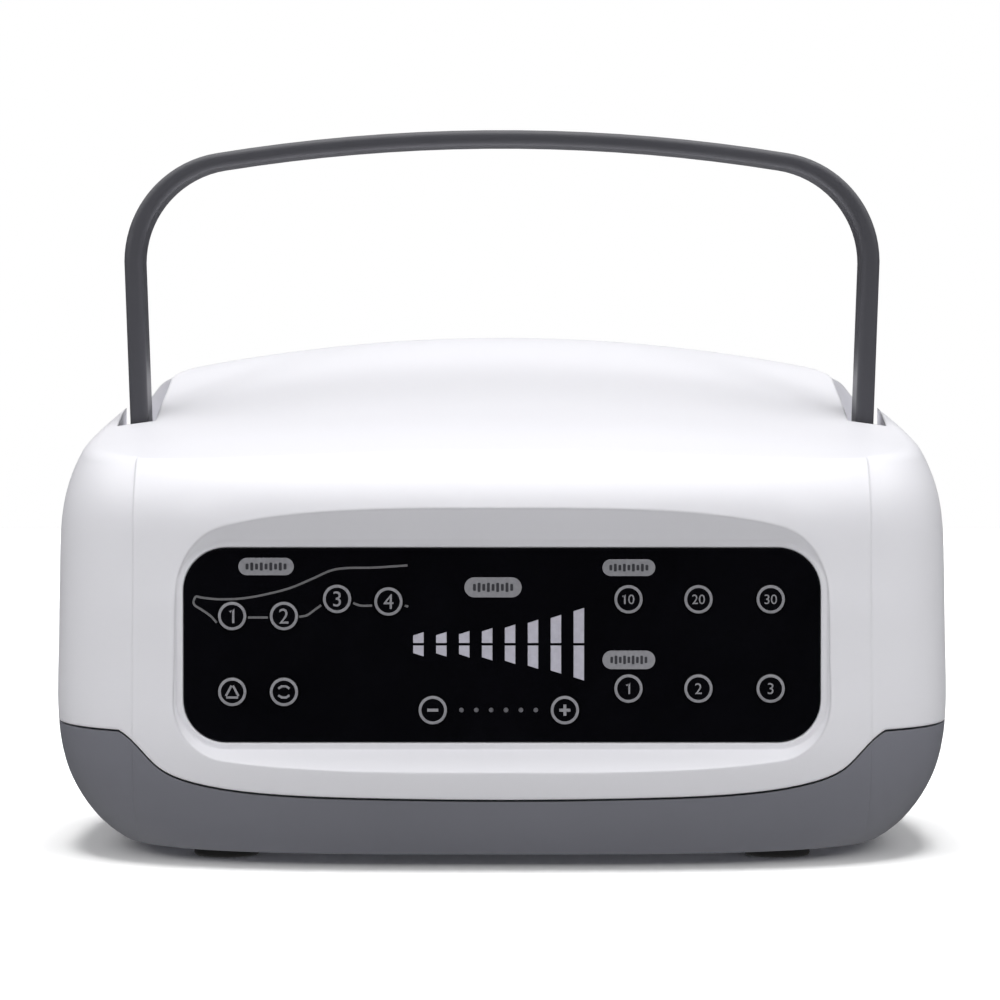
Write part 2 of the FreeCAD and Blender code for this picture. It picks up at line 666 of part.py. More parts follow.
# ================================================================ recesses of the cover
def front_recess(grow=0.0, depth=0.0):
    """Flared recess of the control panel; grow and depth thicken it for the wall behind."""
    width, height = PANEL_WIDTH + 2 * LAND, PANEL_HEIGHT + 2 * LAND
    far_height = height + FLARE_TOP + FLARE_BOTTOM
    far_z = PANEL_CENTRE_Z + (FLARE_TOP - FLARE_BOTTOM) / 2
    near = rounded_outline(width + 2 * grow, height + 2 * grow, PANEL_CORNER + LAND + grow,
                           0, PANEL_Y + depth, PANEL_CENTRE_Z)
    far = rounded_outline(width + 2 * FLARE_SIDE + 2 * grow, far_height + 2 * grow,
                          PANEL_CORNER + FLARE_SIDE + grow, 0, PANEL_Y - FLARE_DEPTH + grow, far_z)
    return Part.makeLoft([near, far], True, True)


def rear_recess(grow=0.0, depth=0.0):
    """Flared flat bay for the rear panel."""
    near = rounded_outline(BAY_WIDTH + 2 * grow, BAY_HEIGHT + 2 * grow, BAY_CORNER + grow,
                           0, BAY_Y - depth, BAY_CENTRE_Z)
    far = rounded_outline(BAY_WIDTH + 2 * BAY_FLARE + 2 * grow, BAY_HEIGHT + 2 * BAY_FLARE + 2 * grow,
                          BAY_CORNER + BAY_FLARE + grow, 0, BAY_Y + BAY_FLARE - grow, BAY_CENTRE_Z)
    return Part.makeLoft([near, far], True, True)


def handle_slots():
    """Slots for the bail's legs, open to the side behind their ears."""
    outline = [(SLOT_FRONT_Y, PIVOT_Z - SLOT_FLOOR_DROP), (SLOT_REAR_Y, PIVOT_Z - SLOT_REAR_DROP),
               (SLOT_REAR_Y, TALL), (SLOT_FRONT_Y, TALL)]
    slot = prism_yz(outline, SLOT_INNER_X, SLOT_OUTER_X)
    notch = box(SLOT_OUTER_X - 1, EAR_REAR_Y, NOTCH_FLOOR_Z, TALL, SLOT_REAR_Y, TALL)
    return both_sides(slot.fuse(notch))


def slot_walls():
    """Region that stays solid round the slots and the ears."""
    outline = [(SLOT_FRONT_Y - SLOT_WALL, PIVOT_Z - SLOT_FLOOR_DROP - SLOT_WALL),
               (SLOT_REAR_Y + SLOT_WALL, PIVOT_Z - SLOT_REAR_DROP - SLOT_WALL),
               (SLOT_REAR_Y + SLOT_WALL, TALL), (SLOT_FRONT_Y - SLOT_WALL, TALL)]
    return both_sides(prism_yz(outline, SLOT_INNER_X - SLOT_WALL, TALL))


def handle_outline():
    """Face of the bail seen from the front."""
    arch_centre = HANDLE_TOP_Z - HANDLE_ARCH_RADIUS

    def half_curve(half_span, arch, corner, splay_end):
        centre_x = half_span - corner
        centre_z = arch_centre + math.sqrt((arch - corner) ** 2 - centre_x ** 2)
        share = arch / (arch - corner)
        tangent = (centre_x * share, arch_centre + (centre_z - arch_centre) * share)
        turn = math.atan2(tangent[1] - centre_z, tangent[0] - centre_x) / 2
        middle = (centre_x + corner * math.cos(turn), centre_z + corner * math.sin(turn))
        return tangent, middle, (half_span, centre_z), (splay_end, PIVOT_Z - HANDLE_BAND)

    outer = half_curve(HANDLE_HALF_SPAN, HANDLE_ARCH_RADIUS, HANDLE_CORNER_RADIUS,
                       HANDLE_HALF_SPAN - HANDLE_SPLAY)
    inner_span = HANDLE_HALF_SPAN - HANDLE_LEG_THICK
    inner = half_curve(inner_span, HANDLE_ARCH_RADIUS - HANDLE_BAR_THICK,
                       HANDLE_CORNER_RADIUS - HANDLE_BAR_THICK, inner_span - HANDLE_SPLAY)

    def run(curve, top_z):
        tangent, middle, end, foot = curve

        def at(point, side=1):
            return Vector(side * point[0], 0, point[1])

        return [Part.LineSegment(at(foot, -1), at(end, -1)).toShape(),
                Part.Arc(at(end, -1), at(middle, -1), at(tangent, -1)).toShape(),
                Part.Arc(at(tangent, -1), Vector(0, 0, top_z), at(tangent)).toShape(),
                Part.Arc(at(tangent), at(middle), at(end)).toShape(),
                Part.LineSegment(at(end), at(foot)).toShape()]

    edges = run(outer, HANDLE_TOP_Z) + run(inner, HANDLE_TOP_Z - HANDLE_BAR_THICK)
    for side in (-1, 1):
        edges.append(Part.LineSegment(Vector(side * outer[3][0], 0, outer[3][1]),
                                      Vector(side * inner[3][0], 0, inner[3][1])).toShape())
    return Part.Face(Part.Wire(Part.__sortEdges__(edges)))


# ================================================================ housing pieces
def post_places():
    return [(sx * POST_X, sy * POST_Y) for sx in (-1, 1) for sy in (-1, 1)]


def pivot_cylinder(radius, x0, x1):
    return cylinder(radius, (x0, PIVOT_Y, PIVOT_Z), (x1, PIVOT_Y, PIVOT_Z))


def cover_cavity():
    """Inside of the cover: what is left solid are its walls, seats, bosses and bearings."""
    bosses = [cylinder(BOSS_RADIUS, (x, y, POST_WEB_Z + POST_WEB + PANEL_GAP), (x, y, TALL))
              for x, y in post_places()]
    bearing = pivot_cylinder(PIN_RADIUS + BEARING_WALL, SLOT_INNER_X - PIN_INNER_REACH - BEARING_END,
                             SLOT_INNER_X)
    board_bosses = [cylinder(BOARD_BOSS_RADIUS, (x, PANEL_Y, z), (x, CONTROL_BOARD_Y, z))
                    for x, z in control_board_holes()]
    panel_bosses = [cylinder(REAR_BOSS_RADIUS, (x, BAY_Y, z), (x, REAR_SEAT_BACK_Y - REAR_BOSS_DEPTH, z))
                    for x, z in rear_screw_places()]
    solids = [front_recess(COVER_WALL, FRONT_SEAT_DEPTH), rear_recess(COVER_WALL, REAR_SEAT_DEPTH)]
    solids += slot_walls() + both_sides(bearing) + bosses + board_bosses + panel_bosses
    cavity = form(COVER_WALL, FEET_HEIGHT - 1.0).cut(solids)
    return max(cavity.Solids, key=lambda solid: solid.Volume)


def top_cover(body):
    window_height = PANEL_HEIGHT - 2 * SEAT_RIM
    pocket_inset = 2 * (LAND - REAR_PANEL_GAP)
    rear_window = 2 * (LAND + REAR_SEAT_RIM)
    tools = [below_parting(REVEAL / 2), cover_cavity(), front_recess(), rear_recess()]
    tools += handle_slots()
    tools += [
        rounded_plate(PANEL_WIDTH + 2 * PANEL_GAP, PANEL_HEIGHT + 2 * PANEL_GAP, PANEL_CORNER + PANEL_GAP,
                      0, PANEL_CENTRE_Z, PANEL_Y - 1, PANEL_BACK_Y),
        rounded_plate(PANEL_WIDTH - 2 * SEAT_RIM, window_height, PANEL_CORNER - SEAT_RIM,
                      0, PANEL_CENTRE_Z, PANEL_Y, SEAT_BACK_Y + 1),
        rounded_plate(BAY_WIDTH - pocket_inset, BAY_HEIGHT - pocket_inset, BAY_CORNER - LAND,
                      0, BAY_CENTRE_Z, REAR_PANEL_BACK_Y, BAY_Y + 1),
        rounded_plate(BAY_WIDTH - rear_window, BAY_HEIGHT - rear_window, REAR_WINDOW_CORNER,
                      0, BAY_CENTRE_Z, REAR_SEAT_BACK_Y - 1, BAY_Y)]
    cover = body.cut(tools)
    hole_top = POST_WEB_Z + POST_WEB + SCREW_BITE + SCREW_HOLE_SPARE
    board_hole_y = CONTROL_BOARD_Y - CONTROL_SCREW_BITE - CONTROL_HOLE_SPARE
    rear_hole_y = REAR_SEAT_BACK_Y - REAR_HOLE_DEPTH
    holes = [cylinder(SCREW_RADIUS + PIN_GAP, (x, y, 0), (x, y, hole_top)) for x, y in post_places()]
    holes += [cylinder(SCREW_RADIUS + PIN_GAP, (x, CONTROL_BOARD_Y + 1, z), (x, board_hole_y, z))
              for x, z in control_board_holes()]
    holes += [cylinder(REAR_SCREW_RADIUS + PIN_GAP, (x, rear_hole_y, z), (x, BAY_Y, z))
              for x, z in rear_screw_places()]
    holes += both_sides(pivot_cylinder(PIN_RADIUS + PIN_GAP, SLOT_INNER_X - PIN_INNER_REACH,
                                       SLOT_OUTER_X + PIN_OUTER_REACH))
    cover = max(cover.Solids, key=lambda solid: solid.Volume).cut(holes)
    return max(cover.Solids, key=lambda solid: solid.Volume)


def base_tray(body):
    within = side_wall(COVER_WALL + LIP_CLEARANCE)
    lip = side_wall(COVER_WALL + LIP_CLEARANCE, FLOOR_Z).common(below_parting(LIP_RISE))
    cavity = side_wall(BASE_WALL + LIP_CLEARANCE, FLOOR_Z)
    posts = [cylinder(POST_RADIUS, (x, y, FEET_HEIGHT), (x, y, POST_WEB_Z + POST_WEB)).common(within)
             for x, y in post_places()]
    stands = [cylinder(STANDOFF_RADIUS, (x, y, FLOOR_Z - 1), (x, y, BOARD_Z))
              for x, y in board_screw_places()]
    stands += [cylinder(MOUNT_RADIUS + MOUNT_SEAT_RIM, (x, y, FLOOR_Z - 1), (x, y, FLOOR_Z + MOUNT_SEAT))
               for x, y in pump_mount_places()]
    stands += [cylinder(MANIFOLD_STAND_RADIUS, (x, y, FLOOR_Z - 1), (x, y, MANIFOLD_BASE_Z))
               for x, y in manifold_places()]
    tray = body.common(below_parting(-REVEAL / 2)).fuse(lip).cut(cavity).fuse(posts + stands)
    tools = []
    for x, y in post_places():
        tools.append(cylinder(POST_BORE, (x, y, 0), (x, y, POST_WEB_Z)))
        tools.append(cylinder(SCREW_RADIUS + SCREW_GAP, (x, y, 0), (x, y, TALL)))
    for x, y in foot_places():
        tools.append(cylinder(FOOT_RADIUS + FOOT_GAP, (x, y, 0), (x, y, FEET_HEIGHT + FOOT_SINK)))
    for x, y in board_screw_places() + manifold_places():
        tools.append(cylinder(SCREW_RADIUS + PIN_GAP, (x, y, FLOOR_Z + 1), (x, y, TALL)))
    for x, y in pump_mount_places():
        tools.append(cylinder(PEG_RADIUS + PIN_GAP, (x, y, FLOOR_Z - 1), (x, y, TALL)))
    for i in range(VENT_COUNT):
        x = (i - (VENT_COUNT - 1) / 2) * FLOOR_VENT_PITCH
        tools.append(box(x - FLOOR_VENT_WIDTH / 2, FLOOR_VENT_FRONT_Y, 0,
                         x + FLOOR_VENT_WIDTH / 2, FLOOR_VENT_REAR_Y, FLOOR_Z + 1))
    tray = tray.cut(tools)
    return max(tray.Solids, key=lambda solid: solid.Volume)


def foot_places():
    return [(sx * FOOT_X, sy * FOOT_Y) for sx in (-1, 1) for sy in (-1, 1)]


def rubber_feet():
    feet = []
    for x, y in foot_places():
        foot = cylinder(FOOT_RADIUS, (x, y, 0), (x, y, FEET_HEIGHT + FOOT_SINK - PIN_GAP))
        feet.append(softened(foot, FOOT_EDGE, lambda edge: edge.BoundBox.ZMax < 0.1))
    return Part.makeCompound(feet)


def screw(x, y, seat_z, up, length):
    """Pan-head screw on the axis Z: seat_z is under the head, up is the way the shank goes."""
    head = cylinder(SCREW_HEAD_RADIUS, (x, y, seat_z), (x, y, seat_z - up * SCREW_HEAD))
    shank = cylinder(SCREW_RADIUS, (x, y, seat_z), (x, y, seat_z + up * length))
    outside, bottom = (seat_z - up * (SCREW_HEAD + 1), seat_z - up * (SCREW_HEAD - CROSS_DEPTH))
    z0, z1 = sorted((outside, bottom))
    slots = [box(x - w, y - d, z0, x + w, y + d, z1)
             for w, d in ((CROSS_HALF_WIDTH, CROSS_REACH), (CROSS_REACH, CROSS_HALF_WIDTH))]
    return head.fuse(shank).cut(slots)


def base_screws():
    length = POST_WEB + SCREW_BITE
    return Part.makeCompound([screw(x, y, POST_WEB_Z, 1, length) for x, y in post_places()])


# ================================================================ control panel
def key_places():
    """Name and centre of every round key."""
    places = [("key_chamber_%d" % (i + 1), x, z) for i, (x, z) in enumerate(CHAMBER_KEYS)]
    places += [("key_foot_%d" % (i + 1), x, z) for i, (x, z) in enumerate(FOOT_KEYS)]
    places += [("key_pressure_down",) + LEVEL_KEYS[0], ("key_pressure_up",) + LEVEL_KEYS[1]]
    places += [("key_timer_%d" % (i + 1), x, TIMER_KEY_Z) for i, x in enumerate(RIGHT_KEY_X)]
    places += [("key_mode_%d" % (i + 1), x, MODE_KEY_Z) for i, x in enumerate(RIGHT_KEY_X)]
    return places


def bar_x(index):
    return BAR_CENTRE_X + (index - (len(BAR_HEIGHTS) - 1) / 2) * BAR_PITCH


def dot_x(index):
    return BAR_CENTRE_X + (index - (DOT_COUNT - 1) / 2) * DOT_PITCH


def bar_profile(index, grow):
    """Two halves of one slanted light bar, as lists of (x, z)."""
    x = bar_x(index)
    half, h = BAR_WIDTH / 2 + grow, BAR_HEIGHTS[index] / 2 + grow
    split = BAR_SPLIT / 2 - grow
    slant = BAR_SLANT / 2
    upper = [(x - half, BAR_CENTRE_Z + split), (x + half, BAR_CENTRE_Z + split),
             (x + half, BAR_CENTRE_Z + h + slant), (x - half, BAR_CENTRE_Z + h - slant)]
    lower = [(px, 2 * BAR_CENTRE_Z - pz) for px, pz in upper]
    return upper, lower


def bar_solids(grow, y0, y1):
    solids = []
    for index in range(len(BAR_HEIGHTS)):
        for points in bar_profile(index, grow):
            corners = [Vector(x, y0, z) for x, z in points]
            face = Part.Face(Part.makePolygon(corners + corners[:1]))
            solids.append(face.extrude(Vector(0, y1 - y0, 0)))
    return solids


def dot_solids(grow, y0, y1):
    z = LEVEL_KEYS[0][1]
    solids = []
    for i in range(DOT_COUNT):
        solids.append(cylinder(DOT_RADIUS + grow, (dot_x(i), y0, z), (dot_x(i), y1, z)))
    return solids


def control_panel():
    panel = rounded_plate(PANEL_WIDTH, PANEL_HEIGHT, PANEL_CORNER, 0, PANEL_CENTRE_Z, PANEL_Y,
                          PANEL_BACK_Y)
    front_edge = PANEL_Y + 0.01
    panel = softened(panel, SMALL_EDGE, lambda edge: edge.BoundBox.YMax < front_edge)
    tools = [cylinder(KEY_RADIUS + KEY_GAP, (x, PANEL_Y - 1, z), (x, PANEL_BACK_Y + 1, z))
             for _, x, z in key_places()]
    tools += bar_solids(LIGHT_GAP, PANEL_Y - 1, PANEL_BACK_Y + 1)
    tools += dot_solids(LIGHT_GAP, PANEL_Y - 1, PANEL_BACK_Y + 1)
    return panel.cut(tools)


def key(x, z):
    """Round keycap with its retaining flange and the stem that works the switch."""
    cap = cylinder(KEY_RADIUS, (x, PANEL_Y - KEY_PROUD, z), (x, KEY_FLANGE_Y + KEY_FLANGE_THICK, z))
    cap = softened(cap, SMALL_EDGE, lambda edge: edge.BoundBox.YMax < PANEL_Y)
    flange = cylinder(KEY_FLANGE_RADIUS, (x, KEY_FLANGE_Y, z), (x, KEY_FLANGE_Y + KEY_FLANGE_THICK, z))
    stem = cylinder(KEY_STEM_RADIUS, (x, KEY_FLANGE_Y, z), (x, STEM_END_Y, z))
    return cap.fuse([flange, stem])


def pressure_bars():
    return Part.makeCompound(bar_solids(0.0, PANEL_Y - LIGHT_PROUD, CHIP_FRONT_Y - CHIP_GAP))


def level_dots():
    return Part.makeCompound(dot_solids(0.0, PANEL_Y - LIGHT_PROUD, CHIP_FRONT_Y - CHIP_GAP))


def light_chips():
    """Light-emitting chips on the board behind the bars and dots."""
    def chip(x, z, width):
        return box(x - width / 2, CHIP_FRONT_Y, z - CHIP_LENGTH / 2,
                   x + width / 2, CONTROL_BOARD_Y, z + CHIP_LENGTH / 2)

    chips = []
    for index in range(len(BAR_HEIGHTS)):
        for side in (-1, 1):
            chips.append(chip(bar_x(index), BAR_CENTRE_Z + side * BAR_HEIGHTS[index] / 4, CHIP_WIDTH))
    for i in range(DOT_COUNT):
        chips.append(chip(dot_x(i), LEVEL_KEYS[0][1], DOT_CHIP_WIDTH))
    return Part.makeCompound(chips)


def key_switches():
    switches = []
    half = SWITCH_SIZE / 2
    for _, x, z in key_places():
        body = box(x - half, SWITCH_FRONT_Y, z - half, x + half, CONTROL_BOARD_Y, z + half)
        bore = cylinder(SWITCH_BORE_RADIUS, (x, SWITCH_FRONT_Y - 1, z),
                        (x, SWITCH_FRONT_Y + SWITCH_BORE_DEPTH, z))
        switches.append(body.cut(bore))
    return Part.makeCompound(switches)


def control_board_holes():
    x = PANEL_WIDTH / 2 + CONTROL_HOLE_OUT
    z = PANEL_HEIGHT / 2 - CONTROL_HOLE_DROP
    return [(sx * x, PANEL_CENTRE_Z + sz * z) for sx in (-1, 1) for sz in (-1, 1)]


def control_board():
    board = rounded_plate(PANEL_WIDTH + 2 * CONTROL_BOARD_RIM, PANEL_HEIGHT - 2 * CONTROL_BOARD_CUT,
                          BOARD_CORNER, 0, PANEL_CENTRE_Z, CONTROL_BOARD_Y, CONTROL_BOARD_Y + BOARD_THICK)
    holes = [cylinder(SCREW_RADIUS + SCREW_GAP, (x, CONTROL_BOARD_Y - 1, z),
                      (x, CONTROL_BOARD_Y + BOARD_THICK + 1, z)) for x, z in control_board_holes()]
    back, rise = CONTROL_BOARD_Y + BOARD_THICK, PANEL_BOTTOM + CONNECTOR_RISE
    connector = box(-CONNECTOR_WIDTH / 2, back - CONNECTOR_SINK, rise,
                    CONNECTOR_WIDTH / 2, back + CONNECTOR_SIZE, rise + CONNECTOR_SIZE)
    return board.cut(holes).fuse(connector)


def screw_along_y(x, z, seat_y, forward, length, radius=SCREW_RADIUS):
    """Pan-head screw on the axis Y; forward is the sign of the way the shank goes."""
    top = seat_y - forward * SMALL_HEAD
    head = cylinder(radius * 2, (x, seat_y, z), (x, top, z))
    shank = cylinder(radius, (x, seat_y, z), (x, seat_y + forward * length, z))
    reach = radius * SMALL_CROSS_SHARE
    y0, y1 = sorted((top - forward * 1, top + forward * SMALL_CROSS_DEPTH))
    recesses = []
    for w, h in ((SMALL_CROSS_HALF_WIDTH, reach), (reach, SMALL_CROSS_HALF_WIDTH)):
        recesses.append(box(x - w, y0, z - h, x + w, y1, z + h))
    return head.fuse(shank).cut(recesses)


def control_board_screws():
    seat = CONTROL_BOARD_Y + BOARD_THICK
    return Part.makeCompound([screw_along_y(x, z, seat, -1, BOARD_THICK + CONTROL_SCREW_BITE)
                              for x, z in control_board_holes()])


# ================================================================ carry handle
def carry_handle():
    bail = handle_outline().extrude(Vector(0, HANDLE_BAND, 0))
    bail.translate(Vector(0, PIVOT_Y - HANDLE_FORWARD - HANDLE_BAND / 2, 0))
    eye_centre_y = PIVOT_Y - HANDLE_FORWARD
    eye = cylinder(HANDLE_BAND / 2, (-TALL, eye_centre_y, PIVOT_Z), (TALL, eye_centre_y, PIVOT_Z))
    bail = bail.common(box(-TALL, -TALL, PIVOT_Z, TALL, TALL, TALL).fuse(eye)).removeSplitter()
    long_edges = [edge for edge in bail.Edges if edge.BoundBox.YLength < 0.01]
    bail = bail.makeFillet(HANDLE_EDGE, long_edges)
    return bail.cut(pivot_cylinder(PIN_RADIUS + PIN_GAP, -TALL, TALL))


def handle_pins():
    pin = pivot_cylinder(PIN_RADIUS, SLOT_INNER_X - PIN_INNER_REACH + PIN_END_GAP,
                         SLOT_OUTER_X + PIN_OUTER_REACH - PIN_END_GAP)
    pin = pin.makeChamfer(PIN_CHAMFER, [edge for edge in pin.Edges if isinstance(edge.Curve, Part.Circle)])
    return Part.makeCompound(both_sides(pin))


# ================================================================ rear panel and fittings
def rear_screw_places():
    x, z = (size / 2 - LAND - REAR_SCREW_INSET for size in (BAY_WIDTH, BAY_HEIGHT))
    return [(sx * x, BAY_CENTRE_Z + sz * z) for sx in (-1, 1) for sz in (-1, 1)]


def rear_panel():
    plate = rounded_plate(BAY_WIDTH - 2 * LAND, BAY_HEIGHT - 2 * LAND, BAY_CORNER - LAND, 0,
                          BAY_CENTRE_Z, REAR_PANEL_BACK_Y, BAY_Y)
    y0, y1 = REAR_PANEL_BACK_Y - 1, BAY_Y + 1
    openings = [(SOCKET_WIDTH, SOCKET_HEIGHT, SOCKET_CORNER, SOCKET_X, SOCKET_Z),
                (INLET_WIDTH, INLET_HEIGHT, INLET_CORNER, INLET_X, INLET_Z),
                (rocker_frame_width(), rocker_frame_height(), ROCKER_CORNER, ROCKER_X, ROCKER_Z)]
    tools = [rounded_plate(width + 2 * PANEL_GAP, height + 2 * PANEL_GAP, corner, x, z, y0, y1)
             for width, height, corner, x, z in openings]
    for x, z in rear_screw_places():
        tools.append(cylinder(REAR_SCREW_RADIUS + SCREW_GAP, (x, y0, z), (x, y1, z)))
    for i in range(VENT_COUNT):
        x = VENT_X + (i - (VENT_COUNT - 1) / 2) * VENT_PITCH
        tools.append(rounded_plate(REAR_VENT_WIDTH, REAR_VENT_HEIGHT, REAR_VENT_WIDTH / 2, x,
                                   BAY_CENTRE_Z - REAR_VENT_DROP, y0, y1))
    return plate.cut(tools)


def rear_panel_screws():
    return Part.makeCompound([screw_along_y(x, z, BAY_Y, -1, REAR_SCREW_LENGTH, REAR_SCREW_RADIUS)
                              for x, z in rear_screw_places()])


def port_places():
    first = SOCKET_X - (PORT_COUNT - 1) / 2 * PORT_PITCH
    return [first + i * PORT_PITCH for i in range(PORT_COUNT)]


def air_outlet_socket():
    front = BAY_Y + SOCKET_PROUD
    back = BAY_Y - SOCKET_DEPTH
    body = rounded_plate(SOCKET_WIDTH, SOCKET_HEIGHT, SOCKET_CORNER, SOCKET_X, SOCKET_Z, back,
                         BAY_Y + 2 * FLANGE_LAP)
    flange = rounded_plate(SOCKET_WIDTH + SOCKET_FLANGE, SOCKET_HEIGHT + SOCKET_FLANGE,
                           SOCKET_FLANGE_CORNER, SOCKET_X, SOCKET_Z, BAY_Y + FLANGE_LAP, front)
    flange = softened(flange, FLANGE_EDGE, lambda edge: edge.BoundBox.YMin > front - 0.01)
    socket = body.fuse(flange)
    socket = socket.fuse([cylinder(NOZZLE_RADIUS, (x, back, SOCKET_Z), (x, back - SPIGOT_LENGTH, SOCKET_Z))
                          for x in port_places()])
    for x in port_places():
        mouth = cylinder(PORT_RADIUS, (x, front - PORT_DEPTH, SOCKET_Z), (x, front + 1, SOCKET_Z))
        airway = cylinder(AIRWAY_RADIUS, (x, back - SPIGOT_LENGTH - 1, SOCKET_Z), (x, front, SOCKET_Z))
        socket = socket.cut([mouth, airway])
    keyway = rounded_plate(SOCKET_WIDTH - 2 * KEYWAY_INSET, KEYWAY_HEIGHT, KEYWAY_HEIGHT / 2, SOCKET_X,
                           SOCKET_Z + PORT_RADIUS + KEYWAY_RISE, front - KEYWAY_DEPTH, front + 1)
    return socket.cut(keyway)


def power_inlet():
    front = BAY_Y + INLET_FLANGE
    back = front - INLET_CAVITY_DEPTH
    body = rounded_plate(INLET_WIDTH, INLET_HEIGHT, INLET_CORNER, INLET_X, INLET_Z,
                         back - INLET_BACK_WALL, BAY_Y + 2 * FLANGE_LAP)
    flange = rounded_plate(INLET_WIDTH + 2 * INLET_RIM, INLET_HEIGHT + 2 * INLET_RIM,
                           INLET_CORNER + INLET_RIM, INLET_X, INLET_Z, BAY_Y + FLANGE_LAP, front)
    flange = softened(flange, FLANGE_EDGE, lambda edge: edge.BoundBox.YMin > front - 0.01)
    cavity = box(INLET_X - INLET_CAVITY_WIDTH / 2, back, INLET_Z - INLET_CAVITY_HEIGHT / 2,
                 INLET_X + INLET_CAVITY_WIDTH / 2, front + 1, INLET_Z + INLET_CAVITY_HEIGHT / 2)
    cavity = cavity.makeChamfer(INLET_CHAMFER, [edge for edge in cavity.Edges
                                                if along(edge, Y_AXIS) and edge.BoundBox.ZMin > INLET_Z])
    inlet = body.fuse(flange).cut(cavity)
    blades = []
    half_w, half_h = INLET_BLADE_WIDTH / 2, INLET_BLADE_HEIGHT / 2
    for dx, dz in INLET_BLADES:
        x, z = INLET_X + dx, INLET_Z + dz
        blades.append(box(x - half_w, back - INLET_TAIL, z - half_h,
                          x + half_w, back + INLET_BLADE_LENGTH, z + half_h))
    return inlet.fuse(blades)


def rocker_frame_width():
    return ROCKER_WIDTH + 2 * (ROCKER_GAP + ROCKER_WALL)


def rocker_frame_height():
    return ROCKER_HEIGHT + 2 * (ROCKER_GAP + ROCKER_WALL)


def rocker_pivot():
    return Vector(ROCKER_X, BAY_Y - ROCKER_AXLE_DEPTH, ROCKER_Z)


def power_switch_housing():
    width, height = rocker_frame_width(), rocker_frame_height()
    back = BAY_Y - SWITCH_HOUSING_DEPTH
    body = rounded_plate(width, height, ROCKER_CORNER, ROCKER_X, ROCKER_Z, back, BAY_Y + 2 * FLANGE_LAP)
    flange = rounded_plate(width + 2 * ROCKER_RIM, height + 2 * ROCKER_RIM, ROCKER_CORNER + ROCKER_RIM,
                           ROCKER_X, ROCKER_Z, BAY_Y + FLANGE_LAP, BAY_Y + ROCKER_RIM_THICK)
    half_w = ROCKER_WIDTH / 2 + ROCKER_GAP
    half_h = ROCKER_HEIGHT / 2 + ROCKER_GAP
    cavity = box(ROCKER_X - half_w, back + ROCKER_BACK_WALL, ROCKER_Z - half_h,
                 ROCKER_X + half_w, BAY_Y + 5, ROCKER_Z + half_h)
    pivot = rocker_pivot()
    reach = half_w + ROCKER_BORE_REACH
    bore = cylinder(ROCKER_AXLE_RADIUS + PIN_GAP, (ROCKER_X - reach, pivot.y, pivot.z),
                    (ROCKER_X + reach, pivot.y, pivot.z))
    tabs = []
    for x in (ROCKER_X - SWITCH_TAB_X, ROCKER_X + SWITCH_TAB_X):
        tabs.append(box(x - SWITCH_TAB_HALF_WIDTH, back - SWITCH_TAB_LENGTH, ROCKER_Z - SWITCH_TAB_HALF_THICK,
                        x + SWITCH_TAB_HALF_WIDTH, back + SWITCH_TAB_ROOT, ROCKER_Z + SWITCH_TAB_HALF_THICK))
    return body.fuse([flange] + tabs).cut([cavity, bore])


def power_switch_rocker():
    pivot = rocker_pivot()
    half = ROCKER_HEIGHT / 2 - ROCKER_EDGE_DROP
    front, shoulder, foot = BAY_Y + ROCKER_PROUD, pivot.y - ROCKER_SHOULDER, pivot.y - ROCKER_FOOT
    outline = [(foot, -ROCKER_FOOT_HALF), (foot, ROCKER_FOOT_HALF), (shoulder, half), (front, half),
               (front - ROCKER_DISH, 0), (front, -half), (shoulder, -half)]
    outline = [(y, ROCKER_Z + z) for y, z in outline]
    rocker = prism_yz(outline, ROCKER_X - ROCKER_WIDTH / 2, ROCKER_X + ROCKER_WIDTH / 2)
    reach = ROCKER_WIDTH / 2 + ROCKER_AXLE_REACH
    axle = cylinder(ROCKER_AXLE_RADIUS, (ROCKER_X - reach, pivot.y, pivot.z),
                    (ROCKER_X + reach, pivot.y, pivot.z))
    rocker = rocker.fuse(axle)
    rocker.rotate(pivot, X_AXIS, -ROCKER_TILT)
    return rocker


# ================================================================ boards
def corners_of(area):
    x0, y0, x1, y1 = area
    i = BOARD_INSET
    return [(x0 + i, y0 + i), (x1 - i, y0 + i), (x0 + i, y1 - i), (x1 - i, y1 - i)]


def board_screw_places():
    return corners_of(MAIN_BOARD) + corners_of(SUPPLY_BOARD)


def flat_board(area):
    x0, y0, x1, y1 = area
    board = box(x0, y0, BOARD_Z, x1, y1, BOARD_Z + BOARD_THICK)
    board = board.makeFillet(BOARD_CORNER, [edge for edge in board.Edges if along(edge, Z_AXIS)])
    holes = [cylinder(SCREW_RADIUS + SCREW_GAP, (x, y, 0), (x, y, TALL)) for x, y in corners_of(area)]
    return board.cut(holes)


def main_board():
    x0, y0, x1, y1 = MAIN_BOARD
    top = BOARD_Z + BOARD_THICK
    board = flat_board(MAIN_BOARD)
    width, depth, height = VALVE_PLUG
    places = [(VALVE_PLUG_X + VALVE_PLUG_PITCH * i, y1 - y0 - VALVE_PLUG_INSET - depth, width, depth, height)
              for i in range(PORT_COUNT)]
    chips = [box(x0 + x, y0 + y, top - CHIP_SINK, x0 + x + w, y0 + y + d, top + h)
             for x, y, w, d, h in list(MAIN_CHIPS) + places]
    return board.fuse(chips)


def pressure_sensor():
    x0, y0, x1, y1 = MAIN_BOARD
    top = BOARD_Z + BOARD_THICK
    x, y, half = x1 - SENSOR_INSET, y0 + SENSOR_INSET, SENSOR_SIZE / 2
    body = box(x - half, y - half, top + PIN_GAP, x + half, y + half, top + SENSOR_HEIGHT)
    port = tube(SENSOR_PORT_RADIUS, SENSOR_PORT_BORE, (x, y, top + SENSOR_HEIGHT - CHIP_SINK),
                (x, y, top + SENSOR_HEIGHT + SENSOR_PORT_LENGTH))
    return body.fuse(port)


def supply_board():
    return flat_board(SUPPLY_BOARD)


